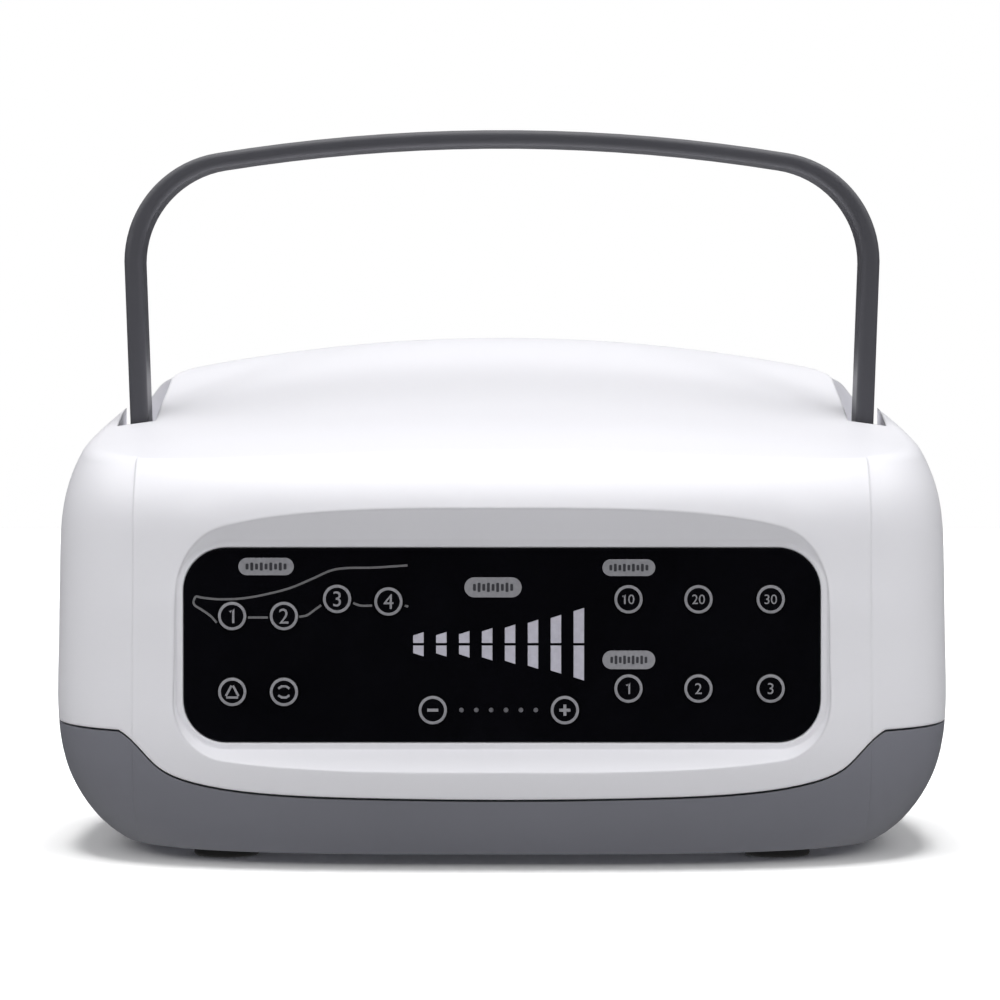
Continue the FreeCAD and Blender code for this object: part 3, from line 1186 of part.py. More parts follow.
def supply_parts():
    """Transformer, capacitors, choke and heat sink on the power board."""
    x0, y0, x1, y1 = SUPPLY_BOARD
    top = BOARD_Z + BOARD_THICK + PIN_GAP
    middle, row_y = (x0 + x1) / 2, y1 - REAR_ROW_Y

    def block(x, y, z, size):
        return box(x, y, z, x + size[0], y + size[1], z + size[2])

    def capacitor(x, y, radius, height):
        can = cylinder(radius, (x, y, top), (x, y, top + height))
        return softened(can, CAP_EDGE, lambda edge: edge.BoundBox.ZMin > top + height / 2)

    core = block(middle - CORE_SIZE[0] / 2, y0 + CORE_Y, top, CORE_SIZE)
    winding = block(middle - WINDING_SIZE[0] / 2, y0 + CORE_Y + (CORE_SIZE[1] - WINDING_SIZE[1]) / 2,
                    top + WINDING_RISE, WINDING_SIZE)
    sink = block(x0 + SINK_PLACE[0], y0 + SINK_PLACE[1], top, SINK_SIZE)
    caps = [capacitor(middle + CAP_X, y0 + CAP_Y, *BIG_CAP)]
    caps += [capacitor(x0 + dx, row_y, *SMALL_CAP) for dx in SMALL_CAP_X]
    choke = tube(CHOKE_RADIUS, CHOKE_BORE, (middle + CHOKE_X, row_y, top),
                 (middle + CHOKE_X, row_y, top + CHOKE_HEIGHT))
    return Part.makeCompound([core.fuse(winding), sink] + caps + [choke])


def board_screws():
    seat = BOARD_Z + BOARD_THICK
    return Part.makeCompound([screw(x, y, seat, -1, BOARD_THICK + BOARD_SCREW_BITE)
                              for x, y in board_screw_places()])


# ================================================================ air pump
def pump_mount_places():
    dx, dy = PUMP_LENGTH / 2 - PUMP_MOUNT_INSET, PUMP_WIDTH / 2 - PUMP_MOUNT_INSET
    return [(PUMP_X + sx * dx, PUMP_Y + sy * dy) for sx in (-1, 1) for sy in (-1, 1)]


def pump_bottom():
    return PUMP_Z - PUMP_HEIGHT / 2


def pump_mounts():
    mounts = []
    for x, y in pump_mount_places():
        low, high = FLOOR_Z + MOUNT_SEAT, pump_bottom()
        body = cylinder(MOUNT_RADIUS, (x, y, low), (x, y, high))
        waist = Part.makeTorus(MOUNT_RADIUS + MOUNT_WAIST_OUT, MOUNT_WAIST, Vector(x, y, (low + high) / 2),
                               Z_AXIS)
        peg = cylinder(PEG_RADIUS, (x, y, FLOOR_Z), (x, y, low + PEG_LAP))
        mounts.append(body.cut(waist).fuse(peg))
    return Part.makeCompound(mounts)


def pump_housing():
    """Square housing of the linear pump, with a tunnel for the armature."""
    body = centred_box(PUMP_X, PUMP_Y, PUMP_Z, PUMP_LENGTH / 2, PUMP_WIDTH / 2, PUMP_HEIGHT / 2)
    body = body.makeFillet(PUMP_EDGE, [edge for edge in body.Edges if along(edge, X_AXIS)])
    tunnel = centred_box(PUMP_X, PUMP_Y, PUMP_Z, TALL, TUNNEL_HALF_WIDTH, TUNNEL_HALF_HEIGHT)
    pocket = centred_box(PUMP_X, PUMP_Y, PUMP_Z, *COIL_POCKET)
    grooves = [centred_box(PUMP_X + dx, PUMP_Y, PUMP_Z + PUMP_HEIGHT / 2, COOLING_GROOVE_WIDTH / 2,
                           COOLING_GROOVE_REACH, COOLING_GROOVE_DEPTH) for dx in COOLING_GROOVES_X]
    return body.cut([tunnel, pocket] + grooves)


def pump_coils():
    coils = []
    for side in (-1, 1):
        inner, outer = TUNNEL_HALF_WIDTH + COIL_GAP, COIL_POCKET[1] - COIL_GAP
        y, half = PUMP_Y + side * (inner + outer) / 2, (outer - inner) / 2
        core = centred_box(PUMP_X, y, PUMP_Z, COIL_POCKET[0] - COIL_GAP, half, CORE_HALF_HEIGHT)
        winding = centred_box(PUMP_X, y, PUMP_Z, WINDING_HALF_LENGTH, half - WINDING_INSET,
                              COIL_POCKET[2] - COIL_GAP)
        winding = winding.makeFillet(WINDING_EDGE, [edge for edge in winding.Edges if along(edge, Y_AXIS)])
        coils.append(core.fuse(winding))
    return Part.makeCompound(coils)


def pump_armature():
    """Magnet bar that swings along X between the coils and works both diaphragms."""
    reach = PUMP_LENGTH / 2 + ARMATURE_REACH
    bar = centred_box(PUMP_X, PUMP_Y, PUMP_Z, reach, *ARMATURE_BAR)
    magnets = [centred_box(PUMP_X + dx, PUMP_Y, PUMP_Z, *MAGNET_HALF) for dx in (-MAGNET_X, MAGNET_X)]
    plates = [cylinder(END_PLATE_RADIUS, (PUMP_X + side * (reach - END_PLATE_LAP), PUMP_Y, PUMP_Z),
                       (PUMP_X + side * (reach + END_PLATE_THICK), PUMP_Y, PUMP_Z)) for side in (-1, 1)]
    return bar.fuse(magnets + plates)


def pump_diaphragms():
    """Rubber rings clamped between housing and heads, round the armature's end plates."""
    start = PUMP_LENGTH / 2
    rings = []
    for side in (-1, 1):
        first = PUMP_X + side * (start + DIAPHRAGM_START)
        last = first + side * DIAPHRAGM_THICK
        rings.append(tube(HEAD_RADIUS - RIM_LAP - PIN_GAP, DIAPHRAGM_BORE, (first, PUMP_Y, PUMP_Z),
                          (last, PUMP_Y, PUMP_Z)))
    return Part.makeCompound(rings)


def pump_heads():
    """One round chamber at each end of the pump; the right one carries the hose nozzle."""
    heads = []
    start = PUMP_LENGTH / 2
    for side in (-1, 1):
        def at(distance, dz=0.0, side=side):
            return (PUMP_X + side * (start + distance), PUMP_Y, PUMP_Z + dz)

        cup_start = DIAPHRAGM_START + DIAPHRAGM_THICK + CLAMP_GAP
        spacer = tube(HEAD_RADIUS, CHAMBER_RADIUS, at(CLAMP_GAP), at(DIAPHRAGM_START - CLAMP_GAP))
        cup = cylinder(HEAD_RADIUS, at(cup_start), at(HEAD_LENGTH))
        chamber = cylinder(CHAMBER_RADIUS, at(cup_start - CLAMP_GAP), at(CHAMBER_END))
        rim = tube(HEAD_RADIUS + RIM_OUT, HEAD_RADIUS - RIM_LAP, at(RIM_START), at(RIM_END))
        nozzle = cylinder(NOZZLE_RADIUS, at(NOZZLE_OFFSET, HEAD_RADIUS - 1),
                          at(NOZZLE_OFFSET, HEAD_RADIUS + NOZZLE_LENGTH))
        airway = cylinder(AIRWAY_RADIUS, at(NOZZLE_OFFSET, DUCT_RISE - 1),
                          at(NOZZLE_OFFSET, HEAD_RADIUS + NOZZLE_LENGTH + 1))
        hollow = cylinder(AIRWAY_RADIUS, at(CHAMBER_END - 1, DUCT_RISE), at(NOZZLE_OFFSET, DUCT_RISE))
        head = cup.fuse([spacer, rim])
        if side > 0:
            head = head.fuse(nozzle).cut([airway, hollow])
        heads.append(head.cut(chamber))
    return Part.makeCompound(heads)


# ================================================================ valves and tubes
def manifold_places():
    return [(MANIFOLD_X + side * (MANIFOLD_WIDTH / 2 - MANIFOLD_SCREW_INSET), MANIFOLD_Y)
            for side in (-1, 1)]


def manifold_top():
    return MANIFOLD_BASE_Z + MANIFOLD_HEIGHT


def valve_places():
    first = MANIFOLD_X - (PORT_COUNT - 1) / 2 * VALVE_PITCH
    return [first + i * VALVE_PITCH for i in range(PORT_COUNT)]


def valve_manifold():
    half = MANIFOLD_WIDTH / 2 + MANIFOLD_END
    y0, y1 = MANIFOLD_Y - MANIFOLD_DEPTH / 2, MANIFOLD_Y + MANIFOLD_DEPTH / 2
    nozzle_z = manifold_top() - VALVE_NOZZLE_DROP
    nozzle_end = y1 + VALVE_NOZZLE_LENGTH
    block = box(MANIFOLD_X - half, y0, MANIFOLD_BASE_Z, MANIFOLD_X + half, y1, manifold_top())
    block = block.makeFillet(MANIFOLD_EDGE, [edge for edge in block.Edges if along(edge, Z_AXIS)])
    rail_z = MANIFOLD_BASE_Z + RAIL_RISE
    rail = cylinder(RAIL_RADIUS, (MANIFOLD_X - half + RAIL_END_WALL, MANIFOLD_Y, rail_z),
                    (MANIFOLD_X + half + 1, MANIFOLD_Y, rail_z))
    tools = [rail]
    nozzles = []
    for x in valve_places():
        tools.append(cylinder(SEAT_BORE, (x, MANIFOLD_Y, rail_z), (x, MANIFOLD_Y, manifold_top() + 1)))
        nozzles.append(cylinder(NOZZLE_RADIUS, (x, y1 - NOZZLE_LAP, nozzle_z), (x, nozzle_end, nozzle_z)))
        tools.append(cylinder(AIRWAY_RADIUS, (x, MANIFOLD_Y + NOZZLE_DUCT_Y, nozzle_z),
                              (x, nozzle_end + 1, nozzle_z)))
    inlet_x, inlet_z = MANIFOLD_X + half, MANIFOLD_BASE_Z + MANIFOLD_INLET_RISE
    nozzles.append(cylinder(NOZZLE_RADIUS, (inlet_x - NOZZLE_LAP, MANIFOLD_Y, inlet_z),
                            (inlet_x + NOZZLE_LENGTH, MANIFOLD_Y, inlet_z)))
    tools.append(cylinder(AIRWAY_RADIUS, (inlet_x - INLET_DUCT, MANIFOLD_Y, inlet_z),
                          (inlet_x + NOZZLE_LENGTH + 1, MANIFOLD_Y, inlet_z)))
    for x, y in manifold_places():
        tools.append(cylinder(SCREW_RADIUS + SCREW_GAP, (x, y, 0), (x, y, TALL)))
        tools.append(cylinder(SCREW_HEAD_RADIUS + FOOT_GAP, (x, y, MANIFOLD_BASE_Z + MANIFOLD_SEAT),
                              (x, y, TALL)))
    return block.cut(tools[:1]).fuse(nozzles).cut(tools[1:])


def manifold_screws():
    seat = MANIFOLD_BASE_Z + MANIFOLD_SEAT
    return Part.makeCompound([screw(x, y, seat, -1, MANIFOLD_SEAT + MANIFOLD_SCREW_BITE)
                              for x, y in manifold_places()])


def solenoid_valves():
    valves = []
    half = VALVE_SIZE / 2
    top = manifold_top() + PIN_GAP
    for x in valve_places():
        body = box(x - half, MANIFOLD_Y - half, top, x + half, MANIFOLD_Y + half, top + VALVE_HEIGHT)
        yoke = box(x - half - YOKE_OUT, MANIFOLD_Y - YOKE_HALF_DEPTH, top,
                   x + half + YOKE_OUT, MANIFOLD_Y + YOKE_HALF_DEPTH, top + VALVE_HEIGHT + YOKE_TOP)
        bore = cylinder(PLUNGER_RADIUS + PLUNGER_GAP, (x, MANIFOLD_Y, top + PLUNGER_FLOOR),
                        (x, MANIFOLD_Y, top + VALVE_HEIGHT - PLUNGER_ROOF))
        seat = cylinder(SEAT_BORE, (x, MANIFOLD_Y, top - 1), (x, MANIFOLD_Y, top + PLUNGER_FLOOR + 1))
        valves.append(body.fuse(yoke).cut([bore, seat]))
    return Part.makeCompound(valves)


def valve_plunger(x):
    foot = manifold_top() + PIN_GAP
    low = foot + PLUNGER_FLOOR + PIN_GAP
    high = foot + VALVE_HEIGHT - PLUNGER_ROOF - PLUNGER_LIFT - PLUNGER_HEADROOM
    plunger = cylinder(PLUNGER_RADIUS, (x, MANIFOLD_Y, low), (x, MANIFOLD_Y, high))
    rims = [edge for edge in plunger.Edges if isinstance(edge.Curve, Part.Circle)]
    return plunger.makeChamfer(PLUNGER_CHAMFER, rims)


def bent_tube(points, radius, bore, bend):
    """Tube along straight runs joined by tangent arcs."""
    corners = [Vector(*point) for point in points]
    edges = []
    start = corners[0]
    for before, corner, after in zip(corners, corners[1:], corners[2:]):
        back, ahead = (before - corner).normalize(), (after - corner).normalize()
        half_turn = back.getAngle(ahead) / 2
        setback = bend / math.tan(half_turn)
        first, last = corner + back * setback, corner + ahead * setback
        centre = corner + (back + ahead).normalize() * (bend / math.sin(half_turn))
        middle = centre + (corner - centre).normalize() * bend
        edges.append(Part.LineSegment(start, first).toShape())
        edges.append(Part.Arc(first, middle, last).toShape())
        start = last
    edges.append(Part.LineSegment(start, corners[-1]).toShape())
    path = Part.Wire(edges)
    direction = corners[1] - corners[0]

    def swept(r):
        profile = Part.Wire([Part.makeCircle(r, corners[0], direction)])
        return path.makePipeShell([profile], True, False)

    return swept(radius).cut(swept(bore))


def outlet_tubes():
    """Four short hoses from the valve manifold to the outlet socket."""
    y_low = MANIFOLD_Y + MANIFOLD_DEPTH / 2 + HOSE_END_GAP
    z_low = manifold_top() - VALVE_NOZZLE_DROP
    y_high = BAY_Y - SOCKET_DEPTH - HOSE_END_GAP
    low_run = VALVE_NOZZLE_LENGTH + TUBE_BEND + HOSE_END_GAP
    high_run = SPIGOT_LENGTH + TUBE_BEND + HOSE_END_GAP
    tubes = []
    for x_low, x_high in zip(valve_places(), port_places()):
        points = [(x_low, y_low, z_low), (x_low, y_low + low_run, z_low),
                  (x_high, y_high - high_run, SOCKET_Z), (x_high, y_high, SOCKET_Z)]
        tubes.append(bent_tube(points, TUBE_RADIUS, TUBE_BORE, TUBE_BEND))
    return Part.makeCompound(tubes)


def pump_hose():
    """Hose from the pump's head, over and down to the inlet of the valve manifold."""
    x = PUMP_X + PUMP_LENGTH / 2 + NOZZLE_OFFSET
    top = PUMP_Z + HEAD_RADIUS + HOSE_END_GAP
    inlet_x = MANIFOLD_X + MANIFOLD_WIDTH / 2 + MANIFOLD_END + HOSE_END_GAP
    inlet_z = MANIFOLD_BASE_Z + MANIFOLD_INLET_RISE
    run_x = inlet_x + HOSE_SIDE_RUN
    points = [(x, PUMP_Y, top), (x, PUMP_Y, top + HOSE_RISE),
              (run_x, MANIFOLD_Y - HOSE_FRONT_RUN, top + HOSE_FALL),
              (run_x, MANIFOLD_Y, inlet_z), (inlet_x, MANIFOLD_Y, inlet_z)]
    return bent_tube(points, TUBE_RADIUS, TUBE_BORE, HOSE_BEND)


# ================================================================ the nodes
def build():
    body = outer_form()
    nodes = {
        "top_cover": top_cover(body),
        "base_tray": base_tray(body),
        "rubber_feet": rubber_feet(),
        "base_screws": base_screws(),
        "control_panel": control_panel(),
        "pressure_bars": pressure_bars(),
        "level_dots": level_dots(),
        "light_chips": light_chips(),
        "key_switches": key_switches(),
        "control_board": control_board(),
        "control_board_screws": control_board_screws(),
        "carry_handle": carry_handle(),
        "handle_pins": handle_pins(),
        "rear_panel": rear_panel(),
        "rear_panel_screws": rear_panel_screws(),
        "air_outlet_socket": air_outlet_socket(),
        "power_inlet": power_inlet(),
        "power_switch_housing": power_switch_housing(),
        "power_switch_rocker": power_switch_rocker(),
        "main_board": main_board(),
        "pressure_sensor": pressure_sensor(),
        "supply_board": supply_board(),
        "supply_parts": supply_parts(),
        "board_screws": board_screws(),
        "pump_mounts": pump_mounts(),
        "pump_housing": pump_housing(),
        "pump_coils": pump_coils(),
        "pump_armature": pump_armature(),
        "pump_diaphragms": pump_diaphragms(),
        "pump_heads": pump_heads(),
        "valve_manifold": valve_manifold(),
        "manifold_screws": manifold_screws(),
        "solenoid_valves": solenoid_valves(),
        "outlet_tubes": outlet_tubes(),
        "pump_hose": pump_hose(),
    }
    for name, x, z in key_places():
        nodes[name] = key(x, z)
    for i, x in enumerate(valve_places()):
        nodes["valve_plunger_%d" % (i + 1)] = valve_plunger(x)
    return nodes


def main():
    os.makedirs("parts", exist_ok=True)
    for name, shape in build().items():
        if not shape.isValid():
            print("not valid:", name)
        shape.exportStep("parts/%s.step" % name)
        print("%-22s %2d solids %10.1f mm3" % (name, len(shape.Solids), shape.Volume))


main()
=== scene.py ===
"""Looks of the compression therapy pump: finishes, printed marks and studio.

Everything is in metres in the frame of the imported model: +Z up, the control
panel faces -Y.  MM turns a size in millimetres into metres.
"""
import json
import math

import bmesh
import bpy
from mathutils import Matrix, Vector


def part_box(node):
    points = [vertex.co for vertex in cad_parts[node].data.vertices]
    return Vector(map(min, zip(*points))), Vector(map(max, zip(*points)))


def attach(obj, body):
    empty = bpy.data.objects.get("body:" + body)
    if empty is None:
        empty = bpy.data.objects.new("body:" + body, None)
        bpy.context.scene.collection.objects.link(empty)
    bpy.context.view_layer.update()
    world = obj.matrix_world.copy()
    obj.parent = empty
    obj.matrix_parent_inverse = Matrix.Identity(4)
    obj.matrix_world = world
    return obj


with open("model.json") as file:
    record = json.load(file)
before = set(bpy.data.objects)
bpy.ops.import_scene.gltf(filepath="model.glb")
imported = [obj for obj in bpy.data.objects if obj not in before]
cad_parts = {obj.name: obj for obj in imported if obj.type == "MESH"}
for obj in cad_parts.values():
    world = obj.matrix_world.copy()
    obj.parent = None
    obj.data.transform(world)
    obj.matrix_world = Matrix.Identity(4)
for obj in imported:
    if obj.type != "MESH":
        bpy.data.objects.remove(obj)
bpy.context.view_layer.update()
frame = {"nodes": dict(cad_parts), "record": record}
NODES = frame["nodes"]

MM = 0.001
ROOT = "root"

# ---------------------------------------------------------------- camera
CAMERA_DISTANCE = 1.1
CAMERA_HEIGHT = 0.110
CAMERA_LENS = 135.07            # mm, as is its sensor's width
CAMERA_SENSOR = 36.0
CAMERA_PITCH = 0.672            # degrees below level
CAMERA_TURN = 0.03              # degrees to the left
CAMERA_NEAR = 0.01

# ---------------------------------------------------------------- studio
PUMP_MIDDLE = 0.1               # height of the dark card's middle, and of what the strip lights aim at
FLOOR_SIZE = 9.0
FLOOR_TONES = (0.93, 0.95)
BACKDROP_RADIUS = 12.0
BACKDROP_STEPS = 32             # round its equator, and half as many from pole to pole
AMBIENT_SIDE = 0.03             # light that comes from the horizon
AMBIENT_TOP = 0.50
AMBIENT_TOP_FROM = 0.8          # the direction's upward part at which it is reached
AMBIENT_BELOW = 0.30
AMBIENT_BELOW_FROM = -0.7
OVERHEAD_LIGHT = 0.80
OVERHEAD_SPREAD = 55.0          # degrees
OVERHEAD_FALL = (0.0, -0.1, -1.0)       # the way that its light falls
KEY_LIGHT = 1.20
KEY_SPREAD = 60.0
KEY_FALL = (-0.05, 0.30, -1.0)
FLANK_LIGHT = 0.65              # one on each side
FLANK_SPREAD = 50.0
FLANK_FALL = (1.0, -0.15, -1.0)
FLOOR_LIGHT = 1.7               # one on each side, for the floor alone
FLOOR_SPREAD = 14.0
FLOOR_FALL = (0.13, -0.13, -1.0)
STRIP_LIGHT = 2.0               # one on each side
STRIP_WIDTH = 0.16
STRIP_HEIGHT = 0.8
STRIP_PLACE = (1.0, -0.95, 0.85)
BOUNCE_TONE = 0.60              # lightness of the floor as it lights the pump
BOUNCE_DEPTH = 30.0 * MM
CARD_SIZE = 2.4
CARD_DISTANCE = 1.6
CARD_COLOUR = (0.002, 0.002, 0.003, 1.0)
WHITE = (1.0, 1.0, 1.0, 1.0)

# ---------------------------------------------------------------- printed marks
PRINT_THICK = 0.05 * MM
STROKE = 0.60 * MM
THIN_STROKE = 0.48 * MM
SIGN_STROKE = 0.80 * MM         # of the plus and minus

RING_INNER = 3.05 * MM
RING_OUTER = 3.78 * MM
RING_BEVEL = 0.10 * MM          # of its front edge
RING_OUTER_DEPTH = 0.20 * MM    # how deep its two back edges lie in the key
RING_INNER_DEPTH = 0.05 * MM
RING_STEPS = 64                 # round the ring
# Where it rolls over the key's rim, as (past RING_OUTER, behind the key's face).
RING_ROLL = [(0.02 * MM, 0.02 * MM), (0.12 * MM, 0.10 * MM)]

FONT_SIZE = 1.42                # over the height of its figures
FONT_STEPS = 6                  # of each curve of a figure
ONE_FLAG_REACH = 0.24           # shares of a drawn figure 1's height
ONE_FLAG_LEVEL = 0.28
CURVE_STEPS = 8                 # between two points of a line
PILL_STEPS = 14                 # of each half-round end
CORNER_STEPS = 3                # of each corner of a tick

TICK_COUNT = 9
TICK_LONG = 0.46                # shares of the label's height
TICK_SHORT = 0.34
TICK_WIDTH = 0.62               # shares of the distance between two ticks
TICK_ROUNDING = 0.2


# ================================================================ node trees
BEVEL_SAMPLES = 4
MIX_FACTOR, MIX_FIRST, MIX_LAST = 0, 6, 7       # inputs of a mix node that mixes colours
MIX_RESULT = 2                                  # its output


def put(tree, socket, value):
    """Sets a socket, or links it where the value is another node's output."""
    if isinstance(value, bpy.types.NodeSocket):
        tree.links.new(value, socket)
    else:
        socket.default_value = value


def fill(tree, node, inputs):
    """Puts values into a node's inputs by name, with an underscore for each space."""
    for name, value in inputs.items():
        put(tree, node.inputs[name.replace("_", " ")], value)


def add_node(tree, kind, **inputs):
    node = tree.nodes.new(kind)
    fill(tree, node, inputs)
    return node


def map_range(tree, value, start, end, low, high, interpolation="LINEAR"):
    """Maps value from start..end to low..high."""
    node = tree.nodes.new("ShaderNodeMapRange")
    node.interpolation_type = interpolation
    fill(tree, node, dict(Value=value, From_Min=start, From_Max=end, To_Min=low, To_Max=high))
    return node.outputs["Result"]


def shade(colour, factor):
    return tuple(min(1.0, c * factor) for c in colour) + (1.0,)


def grey(tone):
    return (tone, tone, tone, 1.0)


class Nodes:
    """Node tree of one material, with a short name for each thing that a finish needs."""

    def __init__(self, name):
        self.material = bpy.data.materials.new(name)
        self.material.use_nodes = True
        self.tree = self.material.node_tree
        self.shader = self.tree.nodes["Principled BSDF"]
        self.place = self.add("ShaderNodeTexCoord").outputs["Object"]

    def add(self, kind, **inputs):
        return add_node(self.tree, kind, **inputs)

    def noise(self, scale, detail=4.0, roughness=0.55, distortion=0.0, place=None):
        node = self.add("ShaderNodeTexNoise", Vector=self.place if place is None else place, Scale=scale,
                        Detail=detail, Roughness=roughness, Distortion=distortion)
        return node.outputs["Fac"]

    def ramp(self, value, low, high, start=0.3, end=0.7):
        return map_range(self.tree, value, start, end, low, high)

    def blend(self, factor, first, last):
        """The first colour where the factor is 0, and the last one where it is 1."""
        node = self.add("ShaderNodeMix")
        node.data_type = "RGBA"
        for index, value in ((MIX_FACTOR, factor), (MIX_FIRST, first), (MIX_LAST, last)):
            put(self.tree, node.inputs[index], value)
        return node.outputs[MIX_RESULT]

    def mottled(self, pattern, colour, first, last, start=0.3, end=0.7):
        """Colour times first where the pattern is at its start, and times last at its end."""
        return self.blend(self.ramp(pattern, 0.0, 1.0, start, end), shade(colour, first), shade(colour, last))

    def soft_edges(self, radius):
        """Normals that turn round each edge, as on a moulded part."""
        node = self.add("ShaderNodeBevel", Radius=radius)
        node.samples = BEVEL_SAMPLES
        return node.outputs["Normal"]

    def bump(self, height, strength, distance, normal=None):
        node = self.add("ShaderNodeBump", Height=height, Strength=strength, Distance=distance)
        if normal is not None:
            put(self.tree, node.inputs["Normal"], normal)
        return node.outputs["Normal"]

    def surface(self, **inputs):
        """Fills the shader and gives the finished material."""
        fill(self.tree, self.shader, inputs)
        return self.material


# ================================================================ materials
EDGE_SOFTNESS = 0.45 * MM           # radius by which the shading rounds the edges
COVER_SOFTNESS = 1.1 * MM
HANDLE_SOFTNESS = 1.3 * MM


def moulded_plastic(name, colour, roughness, grain=0.12, variation=0.04, subsurface=0.0,
                    softness=EDGE_SOFTNESS):
    """Moulded plastic: fine spark-eroded grain, slight unevenness of tone, gloss and surface."""
    n = Nodes(name)
    gloss = n.noise(scale=22.0, detail=1.0)
    grained = n.bump(n.noise(scale=2600.0, detail=2.0), strength=grain, distance=0.03 * MM,
                     normal=n.soft_edges(softness))
    return n.surface(
        Base_Color=n.mottled(n.noise(scale=9.0, detail=3.0), colour, 1.0 - variation, 1.0 + variation),
        Roughness=n.ramp(gloss, roughness - 0.02, roughness + 0.02, start=0.0, end=1.0),
        Normal=n.bump(n.noise(scale=28.0, detail=2.0), strength=0.03, distance=0.4 * MM, normal=grained),
        Subsurface_Weight=subsurface,
        Subsurface_Radius=(0.004, 0.004, 0.0035))


def gloss_black(name, colour, roughness=0.07, specular=0.3):
    """Polished black acrylic with faint wiping marks."""
    n = Nodes(name)
    smear = n.noise(scale=34.0, detail=6.0, roughness=0.6, distortion=1.2)
    return n.surface(
        Base_Color=n.mottled(smear, colour, 0.85, 1.25),
        Roughness=n.ramp(smear, roughness, roughness + 0.05, start=0.4, end=0.75),
        Normal=n.bump(n.noise(scale=16.0, detail=2.0), strength=0.03, distance=0.2 * MM),
        Specular_IOR_Level=specular)


def screen_print(name, colour):
    """Screen-printed ink, very slightly uneven."""
    n = Nodes(name)
    patch = n.noise(scale=900.0, detail=3.0)
    return n.surface(
        Base_Color=n.mottled(patch, colour, 0.9, 1.08),
        Roughness=n.ramp(patch, 0.42, 0.52),
        Normal=n.bump(patch, strength=0.15, distance=0.01 * MM))


def light_guide(name, colour):
    """Milky, slightly mottled light guide, unlit."""
    n = Nodes(name)
    cloud = n.noise(scale=700.0)
    return n.surface(
        Base_Color=n.mottled(cloud, colour, 0.93, 1.05),
        Roughness=n.ramp(cloud, 0.29, 0.35),
        Normal=n.bump(cloud, strength=0.1, distance=0.02 * MM),
        Subsurface_Weight=0.25,
        Subsurface_Radius=(0.001, 0.001, 0.001))


def metal(name, colour, roughness, brushed=False, cast=0.0):
    """Metal: rolled, brushed along X, or rough from casting."""
    n = Nodes(name)
    if brushed:
        stretched = n.add("ShaderNodeMapping", Vector=n.place, Scale=(0.03, 1.0, 1.0)).outputs[0]
        grain = n.noise(scale=2200.0, detail=3.0, roughness=0.5, place=stretched)
    else:
        grain = n.noise(scale=420.0, detail=5.0)
    return n.surface(
        Base_Color=n.mottled(grain, colour, 0.82, 1.1),
        Roughness=n.ramp(grain, roughness - 0.06, roughness + 0.1),
        Normal=n.bump(grain, strength=0.08 + cast, distance=(0.02 + 0.1 * cast) * MM),
        Metallic=1.0)


def rubber(name, colour, roughness=0.75):
    """Rubber with a cloudy bloom and a fine grain."""
    n = Nodes(name)
    bloom = n.noise(scale=120.0, detail=6.0)
    return n.surface(
        Base_Color=n.mottled(bloom, colour, 0.8, 1.35),
        Roughness=n.ramp(bloom, roughness - 0.08, roughness + 0.08),
        Normal=n.bump(n.noise(scale=1500.0, detail=3.0), strength=0.2, distance=0.03 * MM))


def circuit_board(name, colour):
    """Solder resist over a faint weave, with lighter copper areas."""
    n = Nodes(name)
    copper = n.add("ShaderNodeTexVoronoi", Vector=n.place, Scale=180.0).outputs["Distance"]
    weave = n.add("ShaderNodeTexWave", Vector=n.place, Scale=900.0).outputs["Fac"]
    return n.surface(
        Base_Color=n.mottled(copper, colour, 1.5, 0.85, start=0.25, end=0.3),
        Roughness=0.3,
        Normal=n.bump(weave, strength=0.08, distance=0.02 * MM))


def windings(name, colour):
    """Lacquered copper wire laid in turns, with painted shade in the grooves between turns and a painted
    highlight on their crowns.
    """
    n = Nodes(name)
    turns = n.add("ShaderNodeTexWave", Vector=n.place, Scale=420.0, Distortion=0.6).outputs["Fac"]
    return n.surface(
        # painted shade and highlight: the copper is darkened in the grooves between turns and lightened on
        # their crowns
        Base_Color=n.blend(turns, shade(colour, 0.55), shade(colour, 1.3)),
        Roughness=0.3,
        Metallic=0.85,
        Normal=n.bump(turns, strength=0.6, distance=0.1 * MM))


